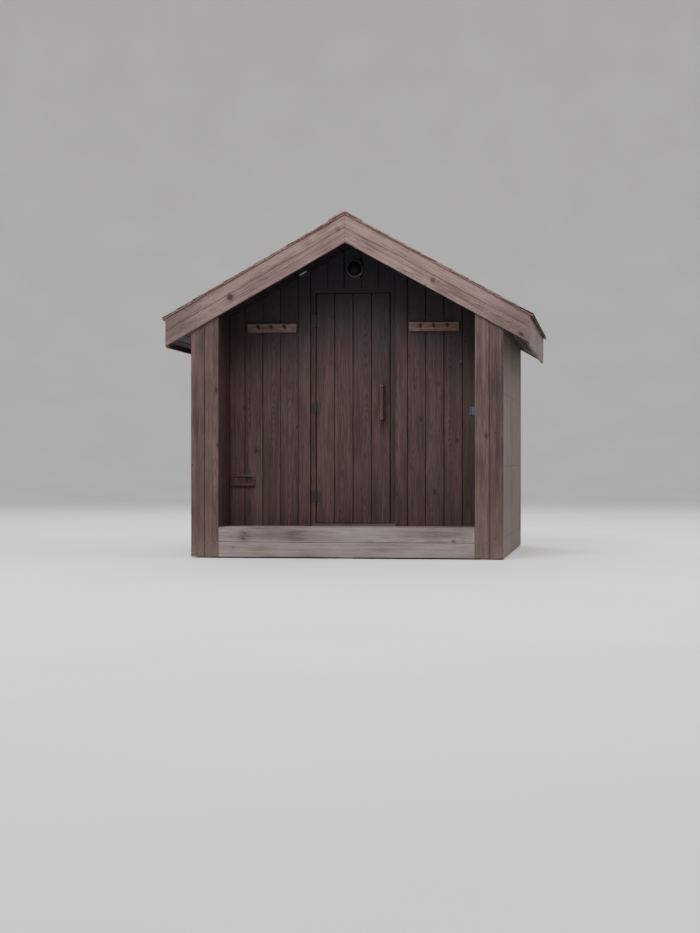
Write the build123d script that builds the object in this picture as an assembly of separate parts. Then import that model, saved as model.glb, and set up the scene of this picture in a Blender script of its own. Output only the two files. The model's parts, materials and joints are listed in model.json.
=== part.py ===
from build123d import *
import math
import os

# A timber sauna cabin with a gable roof and a shallow open porch.
# Millimetres. X runs to the right, Y runs to the back, Z runs up, and the porch faces -Y.
# The origin is on the ground, below the middle of the whole cabin, roof included.

# Body
body_width = 2430.0         # over the side cladding
body_length = 2600.0        # from the face of the wing boards to the face of the rear cladding
porch_depth = 400.0         # from the face of the wing boards to the boards of the porch wall
floor_height = 240.0        # top of the porch deck and of the cabin floor above the ground
stud_wall = 180.0           # framed wall, insulated, with its inner lining
cladding_thickness = 20.0   # outer boards
lining_thickness = 18.0     # boards on the two side faces of the porch
skirt_height = 10.0         # open gap between the ground and the lowest boards
board_joint = 2.0           # open joint between two boards of one piece

# Floor
bearer_width = 120.0
bearer_height = 95.0
floor_board = 28.0
deck_board_count = 4
deck_gap = 6.0

# Roof, measured square to the slope from the lower edge of the bargeboards
roof_pitch = 29.0           # degrees
gable_rise = 302.0          # from the top of the door frame up to that edge at the middle
lower_bargeboard = 103.0    # width of the lower board
upper_bargeboard = 86.0     # width of the upper board
bargeboard_thickness = 22.0
bargeboard_chamfer = 3.0
ceiling_recess = 12.0       # how far the bargeboards hang below the ceiling boards
ceiling_board = 14.0
roofing_thickness = 20.0
ridge_cap_thickness = 6.0
ridge_cap_width = 150.0     # each side of the ridge
mitre_gap = 1.0
eave_overhang = 200.0       # from the side cladding to the face of the fascia
fascia_thickness = 20.0
fascia_drop = 12.0          # how far the fascia hangs below the bargeboards' lower edge
roofing_eave_lip = 30.0
roofing_gable_lip = 18.0

# Doorway
frame_width = 690.0
frame_height = 1890.0       # above the cabin floor
frame_post = 45.0           # face width of the posts and head beside the leaf
stop_width = 12.0           # how far the stop reaches in behind the leaf
threshold_rise = 20.0
threshold_nose = 6.0
casing_width = 95.0
casing_thickness = 28.0
casing_lap = 6.0            # how far the casings lap over the frame
door_thickness = 40.0
door_gap = 5.0              # between the leaf and the frame, all round
door_recess = 2.0           # leaf face behind the frame face
door_board_count = 4
door_groove = 4.0

# Battens on the inside of the leaf
batten_width = 95.0
batten_thickness = 20.0
batten_inset = 40.0         # from the hinge edge of the leaf
batten_chamfer = 4.0
batten_end_inset = 165.0    # from the foot or the top of the leaf to the middle of a batten

# Handles
handle_length = 280.0
handle_width = 34.0
handle_depth = 26.0
handle_standoff = 38.0
handle_height = 950.0       # middle above the foot of the leaf
handle_inset = 60.0         # from the closing edge of the leaf
handle_clearance = 10.0     # from the battens

# Hinges
hinge_length = 90.0
hinge_plate = 3.0
hinge_plate_width = 34.0
knuckle_radius = 7.0
pin_radius = 3.5
pin_clearance = 0.3
knuckle_clearance = 0.5
hinge_end_inset = 210.0     # from the foot or the top of the leaf to the middle of a hinge

# Peg rails
rail_length = 394.0
rail_height = 72.0
rail_thickness = 20.0
rail_chamfer = 3.0
rail_gap = 15.0             # from the casing
rail_drop = 319.0           # middle below the top of the door frame
peg_count = 3
peg_pitch = 105.0
peg_length = 62.0           # out of the rail
peg_radius = 8.0
peg_head_radius = 13.0
peg_waist_radius = 6.5
peg_waist = 36.0            # thinnest place, out of the rail
peg_tenon_radius = 7.0
peg_seat_gap = 0.2          # open joint between the peg's shoulder and the rail
peg_tenon = 13.0
peg_tilt = 10.0

# Porch lamp on the gable of the porch wall
lamp_rise = 144.0           # middle above the door frame
lamp_x = 20.0               # to the right of the door's middle
lamp_radius = 68.0
lamp_base_depth = 24.0
lamp_globe_radius = 55.0
lamp_globe_depth = 52.0
lamp_edge = 8.0

# Small light on the left side of the porch ceiling
ceiling_light_x = 371.0
ceiling_light_y = 260.0     # behind the face of the wing boards
ceiling_light_length = 70.0
ceiling_light_width = 40.0
ceiling_light_depth = 11.0
ceiling_light_round = 3.0

# Switch box on the inner face of the right wing
switch_size = 66.0
switch_depth = 50.0
switch_height = 896.0       # middle above the floor
switch_setback = 165.0      # middle behind the face of the wing boards
switch_round = 6.0
switch_lid = 14.0
switch_lid_lip = 2.0

# Air vent at the foot of the porch wall
vent_width = 190.0
vent_height = 85.0
vent_depth = 20.0
vent_top = 403.0            # top edge above the floor
vent_side_gap = 22.0        # from the porch lining
vent_border = 16.0
vent_recess = 12.0
vent_slide_width = 100.0
vent_slide_thickness = 5.0
vent_chamfer = 4.0

# Coat hook on the porch wall
hook_inset = 143.0          # from the porch lining
hook_height = 1281.0        # above the floor
hook_plate_width = 16.0
hook_plate_height = 46.0
hook_plate_thickness = 3.0
hook_wire = 3.0             # radius
hook_reach = 16.0           # radius of the bend

# Derived places
apex_height = floor_height + frame_height + gable_rise
front = -body_length / 2
rear = body_length / 2
outer_face = body_width / 2
wall_outside = outer_face - cladding_thickness
wall_inside = wall_outside - stud_wall
porch_side = wall_inside - lining_thickness
boards_front = front + cladding_thickness
boards_rear = rear - cladding_thickness
porch_face = front + porch_depth
porch_wall_front = porch_face + cladding_thickness
porch_wall_rear = porch_wall_front + stud_wall
rear_wall_front = boards_rear - stud_wall
frame_base = floor_height - floor_board
ceiling_top = ceiling_recess + ceiling_board
roof_top = lower_bargeboard + upper_bargeboard
eave = outer_face + eave_overhang
bargeboard_face = rear + bargeboard_thickness
frame_side = frame_width / 2
frame_top = floor_height + frame_height
leaf_side = frame_side - frame_post - door_gap
leaf_front = porch_wall_front + door_recess
leaf_back = leaf_front + door_thickness
leaf_foot = floor_height + threshold_rise + door_gap
leaf_top = frame_top - frame_post - door_gap
leaf_height = leaf_top - leaf_foot
hinge_x = -(leaf_side + door_gap / 2)
hinge_y = leaf_front - hinge_plate - knuckle_radius
casing_outside = frame_side - casing_lap + casing_width
rail_middle_x = casing_outside + rail_gap + rail_length / 2
hook_x = porch_side - hook_inset
slope_cos = math.cos(math.radians(roof_pitch))
slope_tan = math.tan(math.radians(roof_pitch))


def slope_height(x, offset):
    """Height of a line along the slope, offset square to it from the bargeboards' lower edge."""
    return apex_height + offset / slope_cos - abs(x) * slope_tan


def block(x_low, x_high, y_low, y_high, z_low, z_high):
    """A rectangular solid between six planes."""
    middle = Pos((x_low + x_high) / 2, (y_low + y_high) / 2, (z_low + z_high) / 2)
    return middle * Box(x_high - x_low, y_high - y_low, z_high - z_low)


def upright(outline, y_low, y_high):
    """A solid with its outline in X and Z, between two planes square to Y."""
    face = Plane.XZ.offset(-y_high) * make_face(Polyline(*outline, close=True))
    return extrude(face, y_high - y_low)


def plan(outline, z_low, z_high):
    """A solid with its outline in X and Y, between two levels."""
    face = Plane.XY.offset(z_low) * make_face(Polyline(*outline, close=True))
    return extrude(face, z_high - z_low)


def under_slope(x_low, x_high, y_low, y_high, z_low, offset):
    """An upright panel whose top follows the roof, with the gable's point where it spans it."""
    top = [(x_high, slope_height(x_high, offset))]
    if x_low < 0 < x_high:
        top.append((0, slope_height(0, offset)))
    top.append((x_low, slope_height(x_low, offset)))
    return upright([(x_low, z_low), (x_high, z_low)] + top, y_low, y_high)


def slope_layer(x_low, x_high, y_low, y_high, offset_low, offset_high):
    """A layer of the right slope with plumb cuts at both ends."""
    outline = [
        (x_low, slope_height(x_low, offset_low)),
        (x_high, slope_height(x_high, offset_low)),
        (x_high, slope_height(x_high, offset_high)),
        (x_low, slope_height(x_low, offset_high)),
    ]
    return upright(outline, y_low, y_high)


def both_sides(solid):
    """The solid and its mirror image on the other side of the cabin."""
    return Compound(children=[solid, mirror(solid, about=Plane.YZ)])


def left_of(solid):
    """The mirror image of a solid made on the right."""
    return mirror(solid, about=Plane.YZ)


def pieces(solids):
    """Several separate solids as one piece."""
    return Compound(children=list(solids))


def floor_bearers():
    """Three timbers that carry the floor and rest on the ground."""
    middle = (wall_outside + wall_inside) / 2
    places = (-middle, 0.0, middle)
    half = bearer_width / 2
    return pieces(block(x - half, x + half, boards_front, boards_rear, 0, bearer_height) for x in places)


def floor_frame():
    return block(-wall_outside, wall_outside, boards_front, boards_rear, bearer_height, frame_base)


def cabin_floor():
    return block(-wall_inside, wall_inside, porch_wall_rear, rear_wall_front, frame_base, floor_height)


def porch_floor():
    """Deck boards across the porch, with open gaps."""
    depth = porch_wall_front - boards_front
    width = (depth - (deck_board_count - 1) * deck_gap) / deck_board_count
    boards = []
    for index in range(deck_board_count):
        start = boards_front + index * (width + deck_gap)
        boards.append(block(-wall_inside, wall_inside, start, start + width, frame_base, floor_height))
    return pieces(boards)


def front_beams():
    """Two level boards across the front of the floor, between the wings."""
    height = (floor_height - skirt_height - board_joint) / 2
    lower = block(-porch_side, porch_side, front, boards_front, skirt_height, skirt_height + height)
    upper = block(-porch_side, porch_side, front, boards_front, floor_height - height, floor_height)
    return pieces([lower, upper])


def right_side_wall():
    return under_slope(wall_inside, wall_outside, boards_front, boards_rear, frame_base, ceiling_top)


def rear_wall():
    return under_slope(-wall_inside, wall_inside, rear_wall_front, boards_rear, frame_base, ceiling_top)


def porch_wall_right():
    return under_slope(frame_side, wall_inside, porch_wall_front, porch_wall_rear, frame_base, ceiling_top)


def porch_wall_head():
    return under_slope(-frame_side, frame_side, porch_wall_front, porch_wall_rear, frame_top, ceiling_top)


def side_cladding():
    panel = under_slope(wall_outside, outer_face, boards_front, boards_rear, skirt_height, ceiling_top)
    return both_sides(panel)


def rear_cladding():
    return under_slope(-outer_face, outer_face, boards_rear, rear, skirt_height, ceiling_top)


def porch_cladding():
    """Boards of the porch wall on both sides of the casings and over the door."""
    inner = frame_side - casing_lap
    beside = under_slope(
        casing_outside, porch_side, porch_face, porch_wall_front, floor_height, ceiling_recess)
    over = under_slope(
        -inner, inner, porch_face, porch_wall_front, frame_top - casing_lap, ceiling_recess)
    return pieces([beside, left_of(beside), over])


def porch_side_lining():
    panel = under_slope(
        porch_side, wall_inside, boards_front, porch_wall_front, floor_height, ceiling_top)
    return both_sides(panel)


def wing_boards():
    """Two upright boards on the front end of each side wall."""
    middle = (porch_side + outer_face) / 2
    half_joint = board_joint / 2
    inner = under_slope(
        porch_side, middle - half_joint, front, boards_front, skirt_height, ceiling_top)
    outer = under_slope(
        middle + half_joint, outer_face, front, boards_front, skirt_height, ceiling_top)
    return pieces([inner, outer, left_of(inner), left_of(outer)])


def door_casings():
    inner = casing_outside - casing_width
    back = porch_wall_front
    post = under_slope(
        inner, casing_outside, back - casing_thickness, back, floor_height, ceiling_recess)
    return both_sides(post)


def door_jambs():
    """Two posts with a rebate that the leaf closes into."""
    leaf_zone = leaf_back + door_gap
    inner = frame_side - frame_post
    outline = [
        (frame_side, porch_wall_front),
        (inner, porch_wall_front),
        (inner, leaf_zone),
        (inner - stop_width, leaf_zone),
        (inner - stop_width, porch_wall_rear),
        (frame_side, porch_wall_rear),
    ]
    return both_sides(plan(outline, floor_height + threshold_rise, frame_top - frame_post))


def door_head():
    """The frame's head over the posts, with its stop behind the leaf between them."""
    leaf_zone = leaf_back + door_gap
    under = frame_top - frame_post
    head = block(-frame_side, frame_side, porch_wall_front, porch_wall_rear, under, frame_top)
    side = frame_side - frame_post - stop_width
    return head + block(-side, side, leaf_zone, porch_wall_rear, under - stop_width, under)


def door_threshold():
    """A sill below the posts, with a weathered nose."""
    top = floor_height + threshold_rise
    sill = block(-frame_side, frame_side, porch_wall_front, porch_wall_rear, frame_base, top)
    nose = sill.edges().filter_by(Axis.X).group_by(Axis.Z)[-1].sort_by(Axis.Y)[0]
    return chamfer(nose, threshold_nose)


def roof_panel_right():
    """Rafters, insulation and roof boards of one slope as one closed panel."""
    return slope_layer(0, eave - fascia_thickness, front, rear, ceiling_top, roof_top)


def ceiling(x_high, y_low, y_high):
    """Ceiling boards on both slopes, mitred at the ridge."""
    layer = slope_layer(mitre_gap / 2, x_high, y_low, y_high, ceiling_recess, ceiling_top)
    return both_sides(layer)


def roofing_right():
    reach = bargeboard_face + roofing_gable_lip
    top = roof_top + roofing_thickness
    return slope_layer(0, eave + roofing_eave_lip, -reach, reach, roof_top, top)


def ridge_cap():
    reach = bargeboard_face + roofing_gable_lip
    low = roof_top + roofing_thickness
    half = slope_layer(0, ridge_cap_width * slope_cos, -reach, reach, low, low + ridge_cap_thickness)
    return half + left_of(half)


def bargeboard(offset_low, offset_high):
    """A pair of bargeboards at the front, mitred at the apex, with their joint edge eased."""
    board = slope_layer(
        mitre_gap / 2, eave, -bargeboard_face, front, offset_low, offset_high)
    face_edges = board.edges().group_by(Axis.Y)[0]
    long_edges = face_edges.sort_by(SortBy.LENGTH)[-2:]
    return both_sides(chamfer(long_edges, bargeboard_chamfer))


def at_rear(shape):
    """The mirror image of a front piece at the back of the cabin."""
    return pieces(mirror(solid, about=Plane.XZ) for solid in shape.solids())


def eave_fascias():
    """Upright boards along the eaves, between the bargeboards."""
    inner = eave - fascia_thickness
    foot = slope_height(eave, 0) - fascia_drop
    outline = [
        (inner, foot),
        (eave, foot),
        (eave, slope_height(eave, roof_top)),
        (inner, slope_height(inner, roof_top)),
    ]
    return both_sides(upright(outline, front, rear))


def eave_soffits():
    layer = slope_layer(
        outer_face, eave - fascia_thickness, front, rear, ceiling_recess, ceiling_top)
    return both_sides(layer)


def door_leaf():
    """A boarded leaf with a groove at each board joint."""
    leaf = block(-leaf_side, leaf_side, leaf_front, leaf_back, leaf_foot, leaf_top)
    pitch = 2 * leaf_side / door_board_count
    for index in range(1, door_board_count):
        x = -leaf_side + index * pitch
        groove = plan(
            [(x - door_groove, leaf_front), (x + door_groove, leaf_front), (x, leaf_front + door_groove)],
            leaf_foot, leaf_top)
        leaf -= groove
    return leaf


def leaf_levels(end_inset):
    """Three levels on the leaf: near its foot, at its middle and near its top."""
    return [leaf_foot + end_inset, leaf_foot + leaf_height / 2, leaf_top - end_inset]


def door_battens():
    """Three cross battens on the inside of the leaf."""
    hinge_end = batten_inset - leaf_side
    handle_end = leaf_side - handle_inset - handle_width / 2 - handle_clearance
    battens = []
    for middle in leaf_levels(batten_end_inset):
        batten = block(
            hinge_end, handle_end, leaf_back, leaf_back + batten_thickness,
            middle - batten_width / 2, middle + batten_width / 2)
        inner_edges = batten.edges().group_by(Axis.Y)[-1]
        battens.append(chamfer(inner_edges, batten_chamfer))
    return pieces(battens)


def pull(face_y, direction):
    """An upright wooden pull with rounded ends, standing off a face of the leaf."""
    x = leaf_side - handle_inset
    middle = leaf_foot + handle_height
    path_depth = handle_standoff + handle_depth
    grip_plane = Plane(origin=(x, face_y, middle), x_dir=(0, direction, 0), z_dir=(1, 0, 0))
    outer = Pos(path_depth / 2, 0) * Rectangle(path_depth, handle_length)
    inner_height = handle_length - 2 * handle_width
    inner = Pos(handle_standoff / 2, 0) * Rectangle(handle_standoff, inner_height)
    profile = grip_plane * (outer - inner)
    grip = extrude(profile, handle_width / 2, both=True)
    far_y = face_y + direction * path_depth
    far_edges = [edge for edge in grip.edges() if abs(edge.center().Y - far_y) < 0.01]
    return fillet(far_edges, handle_depth / 3)


def door_handles():
    return pieces([pull(leaf_front, -1), pull(leaf_back, 1)])


def knuckle(z_low, z_high, radius):
    """A round length on the hinge axis."""
    return Pos(hinge_x, hinge_y, (z_low + z_high) / 2) * Cylinder(radius, z_high - z_low)


def hinge_levels(middle):
    """Levels of the foot, the two knuckle joints and the top of one hinge."""
    foot = middle - hinge_length / 2
    return [foot + hinge_length * step / 3 for step in range(4)]


def door_hinges():
    """The moving half of each hinge: a plate on the leaf and the middle knuckle."""
    halves = []
    for middle in leaf_levels(hinge_end_inset):
        foot, low_joint, high_joint, top = hinge_levels(middle)
        low_joint += knuckle_clearance
        high_joint -= knuckle_clearance
        plate = block(
            -leaf_side, -leaf_side + hinge_plate_width, leaf_front - hinge_plate, leaf_front, foot, top)
        wrap = block(hinge_x, hinge_x + knuckle_radius, hinge_y, leaf_front, low_joint, high_joint)
        half = plate + wrap + knuckle(low_joint, high_joint, knuckle_radius)
        halves.append(half - knuckle(foot, top, pin_radius + pin_clearance))
    return pieces(halves)


def frame_hinges():
    """The fixed half of each hinge: a plate on the post, two knuckles and the pin."""
    halves = []
    post_edge = -(frame_side - frame_post)
    for middle in leaf_levels(hinge_end_inset):
        foot, low_joint, high_joint, top = hinge_levels(middle)
        half = block(
            post_edge - hinge_plate_width, post_edge, porch_wall_front - hinge_plate, porch_wall_front,
            foot, top)
        half -= knuckle(low_joint, high_joint, knuckle_radius + knuckle_clearance)
        for z_low, z_high in ((foot, low_joint), (high_joint, top)):
            half += block(hinge_x - knuckle_radius, hinge_x, hinge_y, porch_wall_front, z_low, z_high)
            half += knuckle(z_low, z_high, knuckle_radius)
        halves.append(half + knuckle(foot, top, pin_radius))
    return pieces(halves)


def rail_middle():
    return frame_top - rail_drop


def peg_places():
    """Places of the pegs of the right rail along X."""
    first = rail_middle_x - peg_pitch * (peg_count - 1) / 2
    return [first + index * peg_pitch for index in range(peg_count)]


def peg_plane(x):
    """A plane on the rail's face with its normal along a peg, tilted up."""
    face = Plane(origin=(x, porch_face - rail_thickness, rail_middle()), z_dir=(0, -1, 0), x_dir=(1, 0, 0))
    return face * Rot(-peg_tilt, 0, 0)


def peg_rails():
    """Two rails beside the casings, with a hole for each peg."""
    half = rail_length / 2
    rail = block(
        rail_middle_x - half, rail_middle_x + half, porch_face - rail_thickness, porch_face,
        rail_middle() - rail_height / 2, rail_middle() + rail_height / 2)
    rail = chamfer(rail.edges().group_by(Axis.Y)[0], rail_chamfer)
    for x in peg_places():
        rail -= peg_plane(x) * Cylinder(peg_tenon_radius, 2 * peg_tenon)
    return both_sides(rail)


def coat_pegs():
    """Turned pegs with a tenon in the rail, a waisted stem and a round head."""
    seat = peg_radius * math.tan(math.radians(peg_tilt)) + peg_seat_gap
    brow = peg_length - peg_head_radius
    diagonal = peg_head_radius * math.sqrt(0.5)
    with BuildSketch(Plane.XZ) as section:
        with BuildLine():
            Polyline(
                (0, peg_length), (0, -peg_tenon), (peg_tenon_radius, -peg_tenon),
                (peg_tenon_radius, seat), (peg_radius, seat), (peg_waist_radius, peg_waist),
                (peg_head_radius, brow))
            ThreePointArc((peg_head_radius, brow), (diagonal, brow + diagonal), (0, peg_length))
        make_face()
    peg = revolve(section.sketch, Axis.Z)
    places = peg_places() + [-x for x in peg_places()]
    return pieces(peg_plane(x) * peg for x in places)


def lamp_middle():
    return Pos(lamp_x, porch_face, frame_top + lamp_rise) * Rot(90, 0, 0)


def lamp_base():
    """A round lamp base with an eased front edge."""
    disc = Pos(0, 0, lamp_base_depth / 2) * Cylinder(lamp_radius, lamp_base_depth)
    disc = fillet(disc.edges().group_by(Axis.Z)[-1], lamp_edge)
    return lamp_middle() * disc


def lamp_globe():
    """A low dome in front of the lamp base."""
    rim = lamp_base_depth + lamp_edge
    rise = lamp_globe_depth - lamp_edge
    cap_radius = (lamp_globe_radius ** 2 + rise ** 2) / (2 * rise)
    half = lamp_globe_radius / 2
    shoulder = rim + rise - cap_radius + math.sqrt(cap_radius ** 2 - half ** 2)
    with BuildSketch(Plane.XZ) as section:
        with BuildLine():
            Polyline((0, rim + rise), (0, lamp_base_depth), (lamp_globe_radius, lamp_base_depth),
                     (lamp_globe_radius, rim))
            ThreePointArc((lamp_globe_radius, rim), (half, shoulder), (0, rim + rise))
        make_face()
    return lamp_middle() * revolve(section.sketch, Axis.Z)


def ceiling_light():
    """A small flat light below the left slope of the porch ceiling."""
    level = slope_height(ceiling_light_x, ceiling_recess)
    seat = Plane(
        origin=(-ceiling_light_x, front + ceiling_light_y, level),
        x_dir=(slope_cos, 0, slope_cos * slope_tan), z_dir=(slope_cos * slope_tan, 0, -slope_cos))
    body = Pos(0, 0, ceiling_light_depth / 2) * Box(
        ceiling_light_length, ceiling_light_width, ceiling_light_depth)
    body = fillet(body.edges().group_by(Axis.Z)[-1], ceiling_light_round)
    return seat * body


def switch_box():
    """A surface box with a proud lid on the inner face of the right wing."""
    seat = Plane(
        origin=(porch_side, front + switch_setback, floor_height + switch_height),
        x_dir=(0, 1, 0), z_dir=(-1, 0, 0))
    lid_size = switch_size + 2 * switch_lid_lip
    base_depth = switch_depth - switch_lid
    base = Pos(0, 0, base_depth / 2) * Box(switch_size, switch_size, base_depth)
    lid = Pos(0, 0, base_depth + switch_lid / 2) * Box(lid_size, lid_size, switch_lid)
    lid = fillet(lid.edges().group_by(Axis.Z)[-1] + lid.edges().filter_by(Axis.Z), switch_round)
    return seat * (base + lid)


def air_vent():
    """A bordered vent with a slide recessed in it."""
    left = -porch_side + vent_side_gap
    top = floor_height + vent_top
    plate = block(
        left, left + vent_width, porch_face - vent_depth, porch_face, top - vent_height, top)
    plate = chamfer(plate.edges().group_by(Axis.Y)[0], vent_chamfer)
    window_left = left + vent_border
    window_foot = top - vent_height + vent_border
    window_back = porch_face - vent_depth + vent_recess
    window = block(
        window_left, left + vent_width - vent_border, porch_face - vent_depth, window_back,
        window_foot, top - vent_border)
    slide = block(
        window_left, window_left + vent_slide_width, window_back - vent_slide_thickness, window_back,
        window_foot, top - vent_border)
    return plate - window + slide


def coat_hook():
    """A plate with a bent wire hook."""
    middle = floor_height + hook_height
    front_face = porch_face - hook_plate_thickness
    plate = block(
        hook_x - hook_plate_width / 2, hook_x + hook_plate_width / 2, front_face, porch_face,
        middle - hook_plate_height / 2, middle + hook_plate_height / 2)
    root = front_face - hook_wire + hook_plate_thickness / 2
    start = (hook_x, root, middle)
    turn = (hook_x, root - hook_reach, middle - hook_reach)
    end = (hook_x, root - 2 * hook_reach, middle)
    path = ThreePointArc(start, turn, end)
    wire = sweep(Plane(origin=start, z_dir=path % 0) * Circle(hook_wire), path=path)
    return plate + wire


os.makedirs("parts", exist_ok=True)

lower_boards = bargeboard(0, lower_bargeboard)
upper_boards = bargeboard(lower_bargeboard, roof_top)

nodes = {
    "floor_bearers": floor_bearers(),
    "floor_frame": floor_frame(),
    "cabin_floor": cabin_floor(),
    "porch_floor": porch_floor(),
    "front_beams": front_beams(),
    "left_side_wall": left_of(right_side_wall()),
    "right_side_wall": right_side_wall(),
    "rear_wall": rear_wall(),
    "porch_wall_left": left_of(porch_wall_right()),
    "porch_wall_right": porch_wall_right(),
    "porch_wall_head": porch_wall_head(),
    "side_cladding": side_cladding(),
    "rear_cladding": rear_cladding(),
    "porch_cladding": porch_cladding(),
    "porch_side_lining": porch_side_lining(),
    "wing_boards": wing_boards(),
    "door_casings": door_casings(),
    "door_jambs": door_jambs(),
    "door_head": door_head(),
    "door_threshold": door_threshold(),
    "roof_panel_left": left_of(roof_panel_right()),
    "roof_panel_right": roof_panel_right(),
    "porch_ceiling": ceiling(porch_side, front, porch_wall_front),
    "room_ceiling": ceiling(wall_inside, porch_wall_rear, rear_wall_front),
    "roofing_left": left_of(roofing_right()),
    "roofing_right": roofing_right(),
    "ridge_cap": ridge_cap(),
    "front_lower_bargeboards": lower_boards,
    "front_upper_bargeboards": upper_boards,
    "rear_lower_bargeboards": at_rear(lower_boards),
    "rear_upper_bargeboards": at_rear(upper_boards),
    "eave_fascias": eave_fascias(),
    "eave_soffits": eave_soffits(),
    "peg_rails": peg_rails(),
    "coat_pegs": coat_pegs(),
    "lamp_base": lamp_base(),
    "lamp_globe": lamp_globe(),
    "ceiling_light": ceiling_light(),
    "switch_box": switch_box(),
    "air_vent": air_vent(),
    "coat_hook": coat_hook(),
    "frame_hinges": frame_hinges(),
    "door_leaf": door_leaf(),
    "door_battens": door_battens(),
    "door_handles": door_handles(),
    "door_hinges": door_hinges(),
}

for name, shape in nodes.items():
    export_step(shape, f"parts/{name}.step")
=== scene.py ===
"""Looks of the timber sauna cabin: its boards, roofing, doorway, door and fittings."""

from __future__ import annotations

import functools
import json
import logging
import math
import random
from collections.abc import Iterable, Sequence
from dataclasses import dataclass
from enum import Enum
from typing import Protocol

import bmesh
import bpy
from mathutils import Matrix, Vector

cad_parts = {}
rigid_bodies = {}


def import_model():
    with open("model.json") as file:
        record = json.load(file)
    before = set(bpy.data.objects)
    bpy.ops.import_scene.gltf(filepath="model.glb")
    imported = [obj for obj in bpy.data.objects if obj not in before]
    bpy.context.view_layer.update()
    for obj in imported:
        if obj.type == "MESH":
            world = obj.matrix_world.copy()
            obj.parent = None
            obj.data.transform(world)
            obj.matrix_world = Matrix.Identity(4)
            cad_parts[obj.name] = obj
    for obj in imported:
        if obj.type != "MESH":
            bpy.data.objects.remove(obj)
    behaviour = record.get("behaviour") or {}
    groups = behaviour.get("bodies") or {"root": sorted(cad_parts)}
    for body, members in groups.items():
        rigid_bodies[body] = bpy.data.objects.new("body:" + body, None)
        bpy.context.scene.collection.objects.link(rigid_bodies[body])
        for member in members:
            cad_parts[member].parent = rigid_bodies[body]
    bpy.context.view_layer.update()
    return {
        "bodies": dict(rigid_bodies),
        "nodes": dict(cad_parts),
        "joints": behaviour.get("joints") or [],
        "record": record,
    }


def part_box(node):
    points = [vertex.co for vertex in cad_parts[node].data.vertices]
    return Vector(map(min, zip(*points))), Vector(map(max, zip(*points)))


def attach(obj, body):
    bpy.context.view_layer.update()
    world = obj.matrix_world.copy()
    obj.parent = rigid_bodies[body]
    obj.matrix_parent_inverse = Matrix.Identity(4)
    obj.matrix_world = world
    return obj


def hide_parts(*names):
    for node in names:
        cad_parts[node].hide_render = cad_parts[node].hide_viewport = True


LOG = logging.getLogger("sauna_cabin")

Pair = tuple[float, float]
Triple = tuple[float, float, float]
Feed = object
Plugs = dict[str | int, Feed]
Socket = bpy.types.NodeSocket
Shape = bmesh.types.BMesh
Edge = bmesh.types.BMEdge

UP = Vector((0, 0, 1))
FRONT = Vector((0, -1, 0))
BACK = Vector((0, 1, 0))
RIGHT = Vector((1, 0, 0))
LEFT = Vector((-1, 0, 0))


class Body(Enum):
    """The bodies that pieces ride on."""

    CABIN = "cabin"
    DOOR = "door"


class Slot(Enum):
    """The record's material slots."""

    BOARDS = "stained_boards"
    ROUGH = "rough_timber"
    LINING = "room_lining"
    DECK = "deck_boards"
    BARE = "bare_wood"
    ROOFING = "roofing"
    LAMP_HOUSING = "lamp_housing"
    LAMP_GLASS = "lamp_glass"
    SWITCH = "switch_grey"
    STEEL = "steel"


class Grain(Enum):
    """Where a wood finish takes its direction of growth from."""

    BOARD = "grain"
    ALONG_Y = "y"


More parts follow.
